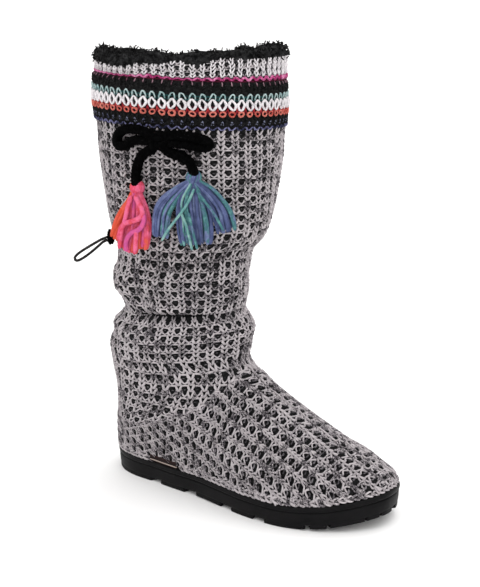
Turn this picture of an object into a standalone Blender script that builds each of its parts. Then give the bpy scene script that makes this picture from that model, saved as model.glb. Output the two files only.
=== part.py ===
"""Knitted slipper boot, right foot: hollow knit upper on a lugged rubber outsole.

Metres, +Z up, +X towards the toe, +Y towards the medial (inner) side.  The origin is on the
floor under the middle of the heel.
"""
import math

import bmesh
import bpy
import numpy as np

MM = 0.001

# ---- driving sizes -------------------------------------------------------------------------
SOLE_LENGTH = 268 * MM
HEEL_BACK_X = -40 * MM           # back of the heel, behind the origin
SOLE_HEIGHT = 18.3 * MM          # floor to the top of the rim, where the sole is flat
LUG_HEIGHT = 3.5 * MM
TOE_SPRING = 11.5 * MM
TOE_SPRING_START = 0.72          # share of the length where the sole starts to rise
HEEL_ROUND = 3.0 * MM            # rise of the rounded heel edge
HEEL_ROUND_LENGTH = 25 * MM
ARCH_RISE = 0.8 * MM
ARCH_RANGE = (0.28, 0.60)        # shares of the length between which the arch lifts

WALL = 3.0 * MM                  # knit and fleece together
GAP = 0.3 * MM                   # between neighbouring pieces
SOLE_INSET = 0.6 * MM            # from the sole's edge to the foot of the knit

UPPER_SEGMENTS = 44              # round the upper
SOLE_SEGMENTS = 56

# Fullness of the outline each side of the centre line, in mm, by station along the length
# (-1 at the heel, 1 at the toe).  The half width at a station is the fullness times the
# ordinate of a unit circle there, so the ends close in round arcs.
OUTLINE = {
    "station": (-1.00, -0.80, -0.50, -0.25, 0.00, 0.25, 0.50, 0.75, 1.00),
    "lateral": (68.0, 56.0, 44.5, 43.4, 47.5, 54.5, 60.5, 62.5, 52.0),
    "medial": (60.0, 51.0, 38.5, 35.7, 38.5, 47.0, 57.5, 68.0, 84.0),
}

# Rings of the upper from the sole to the collar, in mm.  back and front are the ends of each
# ring on the centre line (x from the back of the sole, z from the floor).  last is the share
# of the ring that keeps the outline of the sole; the rest is an oval whose fullness is given
# at the heel, in the middle and at the front, with medial as a share of lateral.
SECTION_COLUMNS = ("level", "back_x", "back_z", "front_x", "front_z",
                   "last", "heel", "middle", "fore", "medial")
SECTIONS = (
    (0, 0.8, 18.6, 267.2, 30.2, 1.00, 66, 46, 50, 0.90),
    (6, 0.0, 24.0, 265.8, 33.0, 1.00, 66, 46, 50, 0.90),
    (18, 0.0, 36.0, 258.0, 38.0, 0.94, 64, 44, 46, 0.90),
    (29, 0.3, 47.0, 246.0, 42.5, 0.80, 61, 42, 42, 0.92),
    (39, 0.5, 57.0, 229.5, 48.5, 0.55, 59, 41, 38, 0.94),
    (50, 0.5, 68.0, 210.0, 59.5, 0.30, 57, 40, 34, 0.96),
    (61, 0.0, 79.0, 184.5, 74.0, 0.12, 56, 41, 32, 0.98),
    (72, -1.5, 90.0, 155.0, 89.0, 0.00, 55, 43, 36, 1.00),
    (83, -3.6, 101.0, 134.5, 102.0, 0.00, 52, 45, 42, 1.00),
    (94, -5.4, 112.0, 127.0, 115.0, 0.00, 50, 47, 46, 1.00),
    (105, -5.4, 122.0, 127.5, 125.0, 0.00, 49, 48, 47, 1.00),
    (114, -2.8, 131.0, 128.2, 133.0, 0.00, 48, 48, 47, 1.00),
    (124, 8.5, 141.0, 124.5, 141.5, 0.00, 47, 47, 46, 1.00),
    (131, 14.0, 148.5, 119.0, 148.5, 0.00, 46, 46, 45, 1.00),
    (139, 10.5, 156.5, 120.5, 156.5, 0.00, 47, 47, 46, 1.00),
    (149, 2.8, 166.0, 122.7, 166.0, 0.00, 49, 49, 48, 1.00),
    (160, 2.0, 177.0, 122.7, 177.0, 0.00, 50, 50, 49, 1.00),
    (170, 7.0, 187.0, 124.5, 187.0, 0.00, 50, 50, 49, 1.00),
    (181, 7.5, 198.0, 126.0, 198.0, 0.00, 50, 50, 50, 1.00),
    (196, 2.5, 213.5, 138.0, 212.5, 0.00, 55, 55, 55, 1.00),
    (211, -1.0, 229.0, 143.8, 227.0, 0.00, 58, 58, 58, 1.00),
    (237, -4.5, 255.5, 149.5, 252.5, 0.00, 62, 62, 62, 1.00),
    (262, -7.5, 281.5, 153.2, 277.5, 0.00, 65, 65, 65, 1.00),
    (284, -9.0, 304.0, 154.8, 299.5, 0.00, 66, 66, 66, 1.00),
    (286, -11.5, 306.0, 157.0, 301.5, 0.00, 67, 67, 67, 1.00),
    (305, -13.8, 326.0, 158.0, 320.5, 0.00, 67, 67, 67, 1.00),
    (319, -12.8, 341.0, 157.5, 334.5, 0.00, 67, 67, 67, 1.00),
    (321, -10.6, 343.0, 156.6, 336.5, 0.00, 66, 66, 66, 1.00),
    (331, -9.0, 348.0, 156.0, 350.0, 0.00, 66, 66, 66, 1.00),
)
LEVELS = (0, 6, 12, 20, 29, 39, 50, 61, 72, 83, 94, 105, 114, 120, 126, 131, 137, 143, 149,
          156, 163, 170, 181, 188, 196, 211, 237, 262, 284, 286, 305, 319, 321, 331)

# The rim is not level: its rise and fall in mm by angle round the collar.
RIM = {"angle": (0, 50, 120, 180, 230, 262, 279, 294, 326, 360),
       "rise": (0.5, 1.0, -4.5, 0.0, -1.5, -4.0, -0.5, -4.5, -2.0, 0.5)}
RIM_BLEND = (321, 331)           # levels over which the rim's waves set in
SEAT_LEVEL = 29                  # level below which the rings bend to the sole's top
SEAT_RISE = 0.9                  # rise per level of the rings that follow the sole
INSET_LEVEL = 6                  # level at which the upper is out to the sole's edge

# Soft folds of the slack shaft, in mm and degrees round the ring (0 front, 90 medial,
# 180 back, 270 lateral): a depth below zero is a trough.
FOLD_COLUMNS = ("angle", "level", "half_angle", "half_height", "depth", "slant")
FOLDS = (
    (262, 142, 12, 17, -6.0, 0.0),
    (292, 131, 34, 6, -4.0, 0.10),
    (238, 150, 18, 14, 2.5, 0.0),
    (300, 178, 46, 8, -3.0, 0.12),
    (100, 136, 30, 8, -4.0, -0.10),
    (150, 150, 14, 18, -4.0, 0.0),
    (70, 172, 34, 9, -3.5, 0.10),
    (20, 118, 26, 10, 2.0, 0.0),
)


# ---- small helpers -------------------------------------------------------------------------
def smooth_table(xs, ys, x):
    """Monotone cubic through a table: no overshoot between its rows."""
    xs, ys, x = (np.asarray(a, float) for a in (xs, ys, x))
    step = np.diff(xs)
    slope = np.diff(ys) / step
    tangent = np.zeros_like(ys)
    tangent[0], tangent[-1] = slope[0], slope[-1]
    same = slope[:-1] * slope[1:] > 0
    w1, w2 = 2 * step[1:] + step[:-1], step[1:] + 2 * step[:-1]
    inner = np.zeros(len(xs) - 2)
    inner[same] = (w1 + w2)[same] / (w1[same] / slope[:-1][same] + w2[same] / slope[1:][same])
    tangent[1:-1] = inner
    x = np.clip(x, xs[0], xs[-1])
    i = np.clip(np.searchsorted(xs, x, side="right") - 1, 0, len(xs) - 2)
    t = (x - xs[i]) / step[i]
    return ((2 * t**3 - 3 * t**2 + 1) * ys[i] + (t**3 - 2 * t**2 + t) * step[i] * tangent[i]
            + (3 * t**2 - 2 * t**3) * ys[i + 1] + (t**3 - t**2) * step[i] * tangent[i + 1])


def sole_lift(x):
    """Height of the sole's underside above the floor at x: heel edge, arch and toe spring."""
    share = (np.asarray(x, float) - HEEL_BACK_X) / SOLE_LENGTH
    toe = np.clip((share - TOE_SPRING_START) / (1 - TOE_SPRING_START), 0, None)
    heel = np.clip(1 - share * SOLE_LENGTH / HEEL_ROUND_LENGTH, 0, None)
    arch = np.clip((share - ARCH_RANGE[0]) / (ARCH_RANGE[1] - ARCH_RANGE[0]), 0, 1)
    return (TOE_SPRING * toe**2 + HEEL_ROUND * heel**2
            + ARCH_RISE * np.sin(math.pi * arch) ** 2)


def outline(angle, inset=0.0):
    """Point of the sole's outline at an angle round it, moved in by inset."""
    side = "medial" if math.sin(angle) >= 0 else "lateral"
    station = math.cos(angle)
    full = float(smooth_table(OUTLINE["station"], OUTLINE[side], station)) * MM - inset
    half = SOLE_LENGTH / 2
    return HEEL_BACK_X + half + (half - inset) * station, full * math.sin(angle)


def loop_angles(count):
    return [2 * math.pi * i / count for i in range(count)]


SECTION_TABLE = {name: [row[i] for row in SECTIONS] for i, name in enumerate(SECTION_COLUMNS)}


def section(name, level):
    return float(smooth_table(SECTION_TABLE["level"], SECTION_TABLE[name], level))


def fold_depth(angle, level):
    """Sum of the soft folds at a place on the upper, in metres, outwards."""
    total = 0.0
    for row in FOLDS:
        fold = dict(zip(FOLD_COLUMNS, row))
        turn = (math.degrees(angle) - fold["angle"] + 180) % 360 - 180
        across = turn / fold["half_angle"]
        along = (level - fold["level"] - fold["slant"] * turn) / fold["half_height"]
        total += fold["depth"] * MM * math.exp(-across**2 - along**2)
    return total


def upper_point(angle, level, out=0.0):
    """A point of the upper's outer face; out moves it along the ring's own normal."""
    row = {name: section(name, level) for name in SECTION_COLUMNS[1:]}
    station, ordinate = math.cos(angle), math.sin(angle)
    medial = ordinate >= 0
    sole_full = smooth_table(OUTLINE["station"], OUTLINE["medial" if medial else "lateral"],
                             station)
    bend = (row["heel"] + row["fore"]) / 2 - row["middle"]
    lean = (row["fore"] - row["heel"]) / 2
    oval = row["middle"] + lean * station + bend * station**2
    if medial:
        oval *= row["medial"]
    inset = SOLE_INSET / MM * (1 - min(level / INSET_LEVEL, 1))
    full = row["last"] * (float(sole_full) - inset) + (1 - row["last"]) * oval
    half = (row["front_x"] - row["back_x"]) / 2
    x = row["back_x"] + half * (1 + station)
    y = full * ordinate
    z = (row["back_z"] + row["front_z"]) / 2 + (row["front_z"] - row["back_z"]) / 2 * station
    if level < SEAT_LEVEL:
        # the foot of the upper follows the sole's top, and frees itself from it higher up
        seat = (SOLE_HEIGHT + GAP + float(sole_lift(x * MM + HEEL_BACK_X))) / MM
        z += (1 - level / SEAT_LEVEL) ** 2 * (seat + level * SEAT_RISE - z)
    wave = float(smooth_table(RIM["angle"], RIM["rise"], math.degrees(angle) % 360))
    z += wave * float(np.clip((level - RIM_BLEND[0]) / (RIM_BLEND[1] - RIM_BLEND[0]), 0, 1))
    normal = np.array([station * full, ordinate * half])
    normal /= np.linalg.norm(normal)
    push = out + fold_depth(angle, level)
    return (x * MM + HEEL_BACK_X + normal[0] * push, y * MM + normal[1] * push, z * MM)


# ---- scene ---------------------------------------------------------------------------------
def clear_scene():
    for item in list(bpy.data.objects):
        bpy.data.objects.remove(item, do_unlink=True)


def new_collection(name):
    collection = bpy.data.collections.new(name)
    bpy.context.scene.collection.children.link(collection)
    return collection


def material(name, colour, roughness, metallic=0.0):
    made = bpy.data.materials.new(name)
    made.use_nodes = True
    shader = made.node_tree.nodes["Principled BSDF"]
    shader.inputs["Base Color"].default_value = (*colour, 1.0)
    shader.inputs["Roughness"].default_value = roughness
    shader.inputs["Metallic"].default_value = metallic
    return made


def add_object(name, mesh, collection, finish):
    for polygon in mesh.polygons:
        polygon.use_smooth = True
    made = bpy.data.objects.new(name, mesh)
    collection.objects.link(made)
    if finish is not None:
        made.data.materials.append(finish)
    return made


def mesh_from(name, work):
    """Turn a bmesh into a mesh whose faces look outwards."""
    bmesh.ops.recalc_face_normals(work, faces=work.faces)
    mesh = bpy.data.meshes.new(name)
    work.to_mesh(mesh)
    work.free()
    return mesh


def solid_mesh(name, verts, faces):
    raw = bpy.data.meshes.new(name)
    raw.from_pydata([tuple(vert) for vert in verts], [], faces)
    work = bmesh.new()
    work.from_mesh(raw)
    bpy.data.meshes.remove(raw)
    return mesh_from(name, work)


def ball(name, segments, rings, place):
    """A closed ball whose unit points are moved by place."""
    work = bmesh.new()
    bmesh.ops.create_uvsphere(work, u_segments=segments, v_segments=rings, radius=1.0)
    for vert in work.verts:
        vert.co = place(*vert.co)
    return mesh_from(name, work)


def fuse_forms(body, meshes, cutters):
    """Join each mesh to the body with a live union."""
    for i, mesh in enumerate(meshes):
        form = add_object(f"{body.name}_form_{i}", mesh, cutters, None)
        form.hide_render = True
        form.display_type = "WIRE"
        fuse = body.modifiers.new(f"form_{i}", "BOOLEAN")
        fuse.operation = "UNION"
        fuse.solver = "EXACT"
        fuse.object = form


def loft(name, rings, close_first=False, close_last=False):
    """Skin equal closed rings.  A cap joins each point to the one across the centre line."""
    count = len(rings[0])
    verts = [point for ring in rings for point in ring]
    faces = []
    for r in range(len(rings) - 1):
        for i in range(count):
            j = (i + 1) % count
            faces.append((r * count + i, r * count + j, (r + 1) * count + j, (r + 1) * count + i))
    caps = [(0, True)] * close_first + [((len(rings) - 1) * count, False)] * close_last
    for start, flip in caps:
        for i in range(count // 2):
            quad = [start + i, start + i + 1, start + (count - i - 1) % count,
                    start + (count - i) % count]
            quad = list(dict.fromkeys(quad))
            faces.append(tuple(reversed(quad)) if flip else tuple(quad))
    if close_first and close_last:
        return solid_mesh(name, verts, faces)
    mesh = bpy.data.meshes.new(name)
    mesh.from_pydata(verts, [], faces)
    return mesh


# ---- sole ----------------------------------------------------------------------------------
# Side of the outsole from the bottom up: height in mm and how far it stands in from the rim.
SOLE_SIDE = ((2.9, 1.9), (5.0, 1.0), (12.4, 0.5), (13.0, 1.5), (13.6, 1.5), (14.2, 0.0),
             (17.5, 0.0), (18.3, 0.8))
LUG_ROOT = 1.0 * MM              # how far a lug runs up into the sole
LUG_INSET = 1.5 * MM
LUG_STATIONS = 4                 # places along a lug
SIDE_LUG_DEPTH = 24.0 * MM       # from the edge towards the middle
TOE_LUG_DEPTH = 14.0 * MM
# Where each tread block starts and ends round the outline, in degrees (0 toe, 90 medial).
TOE_LUGS = ((-48, -40.5), (-39, -22), (-20.5, -11.5), (-8.3, 3), (8.2, 14.5), (17, 30),
            (33, 45))
SIDE_LUGS = ((48, 62), (67, 77), (82, 94), (100, 113), (120, 132), (137, 166),
             (194, 234), (240, 253), (259, 272), (277, 287.5), (292.5, 310))
# Flat blocks under the middle of the heel and of the ball: x, length and width.
PADS = ((0.0, 30 * MM, 20 * MM), (122 * MM, 34 * MM, 26 * MM))


def sole_body():
    rings = []
    for height, inset in SOLE_SIDE:
        ring = []
        for angle in loop_angles(SOLE_SEGMENTS):
            x, y = outline(angle, inset * MM)
            ring.append((x, y, height * MM + float(sole_lift(x))))
        rings.append(ring)
    return loft("outsole", rings, close_first=True, close_last=True)


def lug_mesh(start, end, depth):
    """A tread block on an arc of the outline, its outer face just inside the sole's edge."""
    arc = [math.radians(start + (end - start) * i / (LUG_STATIONS - 1))
           for i in range(LUG_STATIONS)]
    outer = [outline(angle, LUG_INSET) for angle in arc]
    inner = [outline(angle, LUG_INSET + depth) for angle in reversed(arc)]
    loop = outer + inner
    verts = [(x, y, float(sole_lift(x)) + top)
             for top in (0.0, LUG_HEIGHT + LUG_ROOT) for x, y in loop]
    n = len(loop)
    faces = [(i, (i + 1) % n, n + (i + 1) % n, n + i) for i in range(n)]
    for i in range(LUG_STATIONS - 1):
        quad = (i, i + 1, n - 2 - i, n - 1 - i)
        faces += [quad[::-1], tuple(n + k for k in quad)]
    return solid_mesh("lug", verts, faces)


def pad_mesh(centre_x, length, width):
    work = bmesh.new()
    bmesh.ops.create_cube(work, size=1.0)
    for vert in work.verts:
        vert.co.x = centre_x + vert.co.x * length
        vert.co.y = vert.co.y * width
        vert.co.z = (vert.co.z + 0.5) * (LUG_HEIGHT + LUG_ROOT)
    return mesh_from("pad", work)


def build_outsole(parts, cutters, finish):
    body = add_object("outsole", sole_body(), parts, finish)
    blocks = [lug_mesh(*arc, SIDE_LUG_DEPTH) for arc in SIDE_LUGS]
    blocks += [lug_mesh(*arc, TOE_LUG_DEPTH) for arc in TOE_LUGS]
    blocks += [pad_mesh(*pad) for pad in PADS]
    fuse_forms(body, blocks, cutters)


# ---- insole --------------------------------------------------------------------------------
INSOLE_THICKNESS = 4.0 * MM
INSOLE_INSET = SOLE_INSET + WALL + 1.6 * MM
INSOLE_EDGE = 0.8 * MM           # its top is this much smaller all round
INSOLE_SEGMENTS = 28


def build_insole(parts, finish):
    rings = []
    for height, extra in ((0.0, 0.0), (INSOLE_THICKNESS, INSOLE_EDGE)):
        ring = []
        for angle in loop_angles(INSOLE_SEGMENTS):
            x, y = outline(angle, INSOLE_INSET + extra)
            ring.append((x, y, SOLE_HEIGHT + GAP + float(sole_lift(x)) + height))
        rings.append(ring)
    add_object("insole", loft("insole", rings, True, True), parts, finish)


# ---- upper ---------------------------------------------------------------------------------
def build_upper(parts, finish):
    rings = [[upper_point(angle, level) for angle in loop_angles(UPPER_SEGMENTS)]
             for level in LEVELS]
    shell = add_object("upper", loft("upper", rings), parts, finish)
    wall = shell.modifiers.new("wall", "SOLIDIFY")
    wall.thickness = WALL
    wall.offset = -1


# ---- places on the shaft ---------------------------------------------------------------------
SEARCH_STEPS = 40
SEARCH_REACH = 0.98              # furthest station that a search may land on
TURN_STEP = 0.05                 # radians, for the slope round the ring
LEVEL_STEP = 2                   # levels, for the slope up the wall


def shaft_point(x, z, lift=0.0):
    """Point over the lateral side of the shaft at x and z (from the origin), lifted off it."""
    level, angle = (z - SOLE_HEIGHT) / MM, math.radians(270)
    for _ in range(SEARCH_STEPS):
        back, front = section("back_x", level) * MM, section("front_x", level) * MM
        station = (x - HEEL_BACK_X - back) / ((front - back) / 2) - 1
        angle = 2 * math.pi - math.acos(max(-SEARCH_REACH, min(SEARCH_REACH, station)))
        level += (z - upper_point(angle, level)[2]) / MM
    base = np.array(upper_point(angle, level))
    ahead, behind = (np.array(upper_point(angle + turn, level))
                     for turn in (TURN_STEP, -TURN_STEP))
    above, below = (np.array(upper_point(angle, level + rise))
                    for rise in (LEVEL_STEP, -LEVEL_STEP))
    normal = np.cross(ahead - behind, above - below)
    return base + normal / np.linalg.norm(normal) * lift


FINE_STEPS = 12                  # readings between two points of a hand-placed route


def smooth_route(points, steps):
    """Catmull-Rom curve through hand-placed points, read at even steps."""
    p = [np.array(point, float) for point in points]
    p = [2 * p[0] - p[1]] + p + [2 * p[-1] - p[-2]]
    fine = []
    for i in range(1, len(p) - 2):
        for t in np.linspace(0, 1, FINE_STEPS, endpoint=False):
            fine.append(0.5 * (2 * p[i] + (p[i + 1] - p[i - 1]) * t
                               + (2 * p[i - 1] - 5 * p[i] + 4 * p[i + 1] - p[i + 2]) * t**2
                               + (3 * p[i] - p[i - 1] - 3 * p[i + 1] + p[i + 2]) * t**3))
    fine.append(p[-2])
    fine = np.array(fine)
    run = np.r_[0, np.cumsum(np.linalg.norm(np.diff(fine, axis=0), axis=1))]
    at = np.linspace(0, run[-1], steps)
    return [tuple(np.interp(at, run, fine[:, k])[j] for k in range(3)) for j in range(steps)]


def build_cord(name, points, radius, steps, parts, finish):
    curve = bpy.data.curves.new(name, "CURVE")
    curve.dimensions = "3D"
    curve.bevel_depth = radius
    curve.bevel_resolution = 2
    curve.use_fill_caps = True
    spline = curve.splines.new("POLY")
    route = smooth_route(points, steps)
    spline.points.add(len(route) - 1)
    for place, point in zip(spline.points, route):
        place.co = (*point, 1.0)
    made = bpy.data.objects.new(name, curve)
    parts.objects.link(made)
    curve.materials.append(finish)
    return made


# ---- bow -----------------------------------------------------------------------------------
CORD_RADIUS = 3.3 * MM
KNOT_CENTRE = (56.5, 294.0, 6.4)         # x, z and lift off the shaft, in mm
KNOT_SIZE = (8.0, 5.6, 7.4)              # half sizes along, off and up the shaft, in mm
KNOT_SEGMENTS, KNOT_RINGS = 14, 8
# Routes of the cord over the shaft, in mm: x, z and the lift of its middle off the knit.
BOW_ROUTES = {
    "bow_loop_back": ((46.8, 299.6, 6.0), (41.0, 302.4, 5.4), (32.0, 303.4, 4.4),
                      (22.5, 301.6, 3.9), (16.0, 297.6, 3.7), (14.4, 292.8, 3.7),
                      (18.6, 289.2, 3.8), (27.0, 288.8, 4.0), (35.5, 290.4, 4.6),
                      (45.6, 292.2, 5.4)),
    "bow_loop_front": ((66.6, 298.8, 6.8), (74.0, 300.0, 6.8), (81.5, 298.6, 6.4),
                       (88.2, 295.0, 5.8), (88.8, 290.4, 4.8), (83.6, 288.8, 4.2),
                       (75.5, 291.2, 4.0), (67.6, 292.2, 4.8)),
    "bow_end_back": ((49.2, 286.6, 5.0), (44.0, 284.4, 4.4), (38.6, 279.6, 4.0),
                     (35.4, 273.6, 4.2), (34.2, 267.6, 5.2), (34.2, 262.6, 6.2)),
    "bow_end_front": ((62.4, 285.6, 5.2), (67.0, 283.8, 4.4), (73.0, 281.2, 4.0),
                      (77.6, 278.0, 4.2), (79.6, 274.4, 4.8)),
}
BOW_STEPS = {"bow_loop_back": 18, "bow_loop_front": 14, "bow_end_back": 9, "bow_end_front": 7}


def build_bow(parts, finish):
    for name, rows in BOW_ROUTES.items():
        points = [shaft_point(x * MM, z * MM, lift * MM) for x, z, lift in rows]
        build_cord(name, points, CORD_RADIUS, BOW_STEPS[name], parts, finish)
    x, z, lift = (value * MM for value in KNOT_CENTRE)
    centre = shaft_point(x, z, lift)
    out = centre - shaft_point(x, z)
    out /= np.linalg.norm(out)
    along = np.cross((0, 0, 1), -out)
    along /= np.linalg.norm(along)
    up = np.cross(out, along)
    size = np.array(KNOT_SIZE) * MM

    def place(a, b, c):
        return centre + along * a * size[0] + out * b * size[1] + up * c * size[2]

    add_object("bow_knot", ball("bow_knot", KNOT_SEGMENTS, KNOT_RINGS, place), parts, finish)


# ---- tassels -------------------------------------------------------------------------------
# A tassel hangs in its own upright sheet: s runs along the sheet, z up, depth off the shaft.
# origin is the sheet's point at s = 0 in mm, facing its outward direction in degrees, and
# bow the radius in mm with which the sheet wraps the shaft.  Each lock is a run of
# (s, z, half width) in mm from the neck down.
TASSELS = {
    "tassel_back": {
        "origin": (0.0, -69.2), "facing": 270.0, "bow": 400.0,
        "head": (34.2, 256.0, 6.0, 5.4), "depth": 4.4,
        "locks": (
            ((32.8, 254, 3.0), (26.5, 241, 5.2), (17.5, 227, 6.0), (10.0, 212, 5.4)),
            ((33.4, 254, 3.0), (29.0, 239, 5.4), (23.0, 221, 6.2), (18.5, 204, 5.6)),
            ((34.0, 254, 3.0), (33.5, 237, 5.6), (31.0, 219, 6.2), (28.0, 202, 5.6)),
            ((34.8, 254, 3.0), (38.0, 239, 5.2), (38.0, 223, 6.2), (36.5, 206, 5.6)),
        ),
    },
    "tassel_front": {
        "origin": (77.4, -59.8), "facing": 296.8, "bow": 75.0,
        "head": (3.4, 266.6, 6.2, 5.6), "depth": 4.2,
        "locks": (
            ((2.0, 264, 3.0), (-10.0, 254, 5.4), (-19.0, 239, 7.6), (-20.5, 216, 7.4)),
            ((3.0, 264, 3.2), (-1.0, 248, 6.4), (-0.5, 231, 7.4), (0.5, 213, 6.8)),
            ((4.0, 264, 3.2), (9.0, 249, 6.4), (12.5, 231, 7.6), (13.5, 213, 7.2)),
            ((5.0, 264, 3.0), (17.0, 254, 5.6), (25.5, 240, 7.8), (29.5, 222, 7.8)),
        ),
    },
}
LOCK_SIDES = 8
LOCK_RINGS = 6
LOCK_NECK = 0.72                         # depth of a lock at the neck, as a share of its depth
LOCK_OPENING = 2                         # rings over which a lock gets its whole depth
LOCK_END = 0.72                          # size of a lock's last ring, as a share of the rest
HEAD_DEPTH = 0.86                        # depth of a tassel's head, as a share of its width
HEAD_SEGMENTS, HEAD_RINGS = 12, 7


def tassel_point(tassel, s, z, depth):
    """A place in a tassel's sheet, in metres from its own millimetres."""
    angle = math.radians(tassel["facing"])
    off = depth - s * s / (2 * tassel["bow"])
    x0, y0 = tassel["origin"]
    return ((x0 - math.sin(angle) * s + math.cos(angle) * off) * MM,
            (y0 + math.cos(angle) * s + math.sin(angle) * off) * MM, z * MM)


def lock_mesh(tassel, rows):
    """One fused strand bundle: an oval tube that widens from the neck and rounds off."""
    route = smooth_route([(s, z, half) for s, z, half in rows], LOCK_RINGS)
    rings = []
    for i, (s, z, half) in enumerate(route):
        ahead = np.array(route[min(i + 1, LOCK_RINGS - 1)][:2])
        behind = np.array(route[max(i - 1, 0)][:2])
        run = (ahead - behind) / np.linalg.norm(ahead - behind)
        side = np.array((-run[1], run[0]))
        depth = tassel["depth"] * min(1.0, LOCK_NECK + (1 - LOCK_NECK) * i / LOCK_OPENING)
        end = LOCK_END if i == LOCK_RINGS - 1 else 1.0
        ring = []
        for angle in loop_angles(LOCK_SIDES):
            across = half * end * math.cos(angle)
            ring.append(tassel_point(tassel, s + side[0] * across, z + side[1] * across,
                                     depth * end * math.sin(angle)))
        rings.append(ring)
    return loft("lock", rings, close_first=True, close_last=True)


def build_tassel(name, tassel, parts, cutters, finish):
    s, z, half_width, half_height = tassel["head"]

    def place(a, b, c):
        return tassel_point(tassel, s + a * half_width, z + c * half_height,
                            b * half_width * HEAD_DEPTH)

    head = add_object(name, ball(name, HEAD_SEGMENTS, HEAD_RINGS, place), parts, finish)
    fuse_forms(head, [lock_mesh(tassel, rows) for rows in tassel["locks"]], cutters)


# ---- collar --------------------------------------------------------------------------------
COLLAR_SEGMENTS = 60
COLLAR_SIDES = 8
COLLAR_HALF_WIDTH = 6.2 * MM
COLLAR_HALF_HEIGHT = 5.6 * MM
COLLAR_REACH = 0.6 * MM                  # how far the roll stands out past the knit
COLLAR_TUCK = 0.5 * MM                   # how far it sinks inside the rim
CURL_COUNT = 34
CURL_RISE = 2.6 * MM
CURL_TURN = 0.085                        # radians that a curl covers along the roll
CURL_TILT = 0.75                         # and across it
CURL_LEAN = (20, 150)                    # degrees round the roll where curls may sit
CURL_SIZE = (0.45, 1.0)
CURL_JITTER = 0.3                        # of the distance between two curls
SEAT_SINE = -0.3                         # the roll below this stays flat on the rim
TOP_LEVEL = 331


def build_collar(parts, finish):
    """The fleece roll on the rim, its curls fused on as bumps of the roll."""
    rng = np.random.default_rng(7)
    curls = [(2 * math.pi * (i + rng.uniform(-CURL_JITTER, CURL_JITTER)) / CURL_COUNT,
              math.radians(rng.uniform(*CURL_LEAN)), rng.uniform(*CURL_SIZE))
             for i in range(CURL_COUNT)]
    verts, faces = [], []
    for angle in loop_angles(COLLAR_SEGMENTS):
        edge = np.array(upper_point(angle, TOP_LEVEL))
        outer = np.array(upper_point(angle, TOP_LEVEL, MM)) - edge
        outer /= np.linalg.norm(outer)
        middle = edge + outer * (COLLAR_REACH - COLLAR_HALF_WIDTH)
        middle[2] += COLLAR_HALF_HEIGHT + GAP - COLLAR_TUCK
        for turn in loop_angles(COLLAR_SIDES):
            rise = 0.0
            for place, lean, size in curls:
                away = math.atan2(math.sin(angle - place), math.cos(angle - place))
                tilt = math.atan2(math.sin(turn - lean), math.cos(turn - lean))
                rise += size * math.exp(-(away / CURL_TURN) ** 2 - (tilt / CURL_TILT) ** 2)
            grow = 0.0
            if math.sin(turn) >= SEAT_SINE:
                grow = CURL_RISE * min(rise, 1.0) * max(0.0, math.sin(turn) + 0.25)
            up = math.sin(turn) * (COLLAR_HALF_HEIGHT + grow)
            verts.append(middle + outer * math.cos(turn) * COLLAR_HALF_WIDTH
                         + np.array((0, 0, up)))
    for i in range(COLLAR_SEGMENTS):
        for k in range(COLLAR_SIDES):
            a, b = i * COLLAR_SIDES, ((i + 1) % COLLAR_SEGMENTS) * COLLAR_SIDES
            m = (k + 1) % COLLAR_SIDES
            faces.append((a + k, b + k, b + m, a + m))
    add_object("collar_fleece", solid_mesh("collar_fleece", verts, faces), parts, finish)


# ---- hanging loop at the back --------------------------------------------------------------
LOOP_RADIUS = 1.0 * MM
LOOP_SEAT = (-20.5, 208.0)               # x and z of its crocheted tab on the shaft, in mm
LOOP_TAB_SIZE = (3.4, 3.4, 6.0)          # half sizes in mm
TAB_SEGMENTS, TAB_RINGS = 10, 6
LOOP_STEPS = 26
LOOP_FACING = 216.2                      # direction in degrees that the loop stands out in
# Route in mm from the tab: how far it stands out, and its height over the seat.
LOOP_ROUTE = ((7.6, -2.2), (12.0, -3.6), (22.0, -9.6), (29.8, -14.8), (33.6, -18.4),
              (33.8, -20.9), (31.2, -21.6), (24.0, -17.8), (14.0, -10.8), (7.4, -6.0))


def build_back_loop(parts, finish):
    x, z = (value * MM for value in LOOP_SEAT)
    seat = shaft_point(x, z)
    facing = math.radians(LOOP_FACING)
    out = np.array((math.cos(facing), math.sin(facing), 0.0))
    centre = shaft_point(x, z, LOOP_TAB_SIZE[1] * MM + GAP)
    size = np.array(LOOP_TAB_SIZE) * MM
    tab = ball("loop_tab", TAB_SEGMENTS, TAB_RINGS,
               lambda a, b, c: centre + np.array((a, b, c)) * size)
    add_object("loop_tab", tab, parts, finish)
    points = [seat + out * reach * MM + np.array((0, 0, rise * MM))
              for reach, rise in LOOP_ROUTE]
    build_cord("back_loop", points, LOOP_RADIUS, LOOP_STEPS, parts, finish)


# ---- blank side tab ------------------------------------------------------------------------
TAB_RANGE = (15.0, 46.0)                 # x in mm along the lateral side
TAB_HEIGHT = (19.4, 25.0)                # z in mm
TAB_THICKNESS = 0.9 * MM
TAB_STATIONS = 7


def build_side_tab(parts, finish):
    rings = []
    for x in np.linspace(*TAB_RANGE, TAB_STATIONS):
        ring = []
        for z, lift in ((TAB_HEIGHT[0], GAP), (TAB_HEIGHT[0], GAP + TAB_THICKNESS),
                        (TAB_HEIGHT[1], GAP + TAB_THICKNESS), (TAB_HEIGHT[1], GAP)):
            ring.append(tuple(shaft_point(x * MM, z * MM, lift)))
        rings.append(ring)
    add_object("side_tab", loft("side_tab", rings, True, True), parts, finish)


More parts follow.
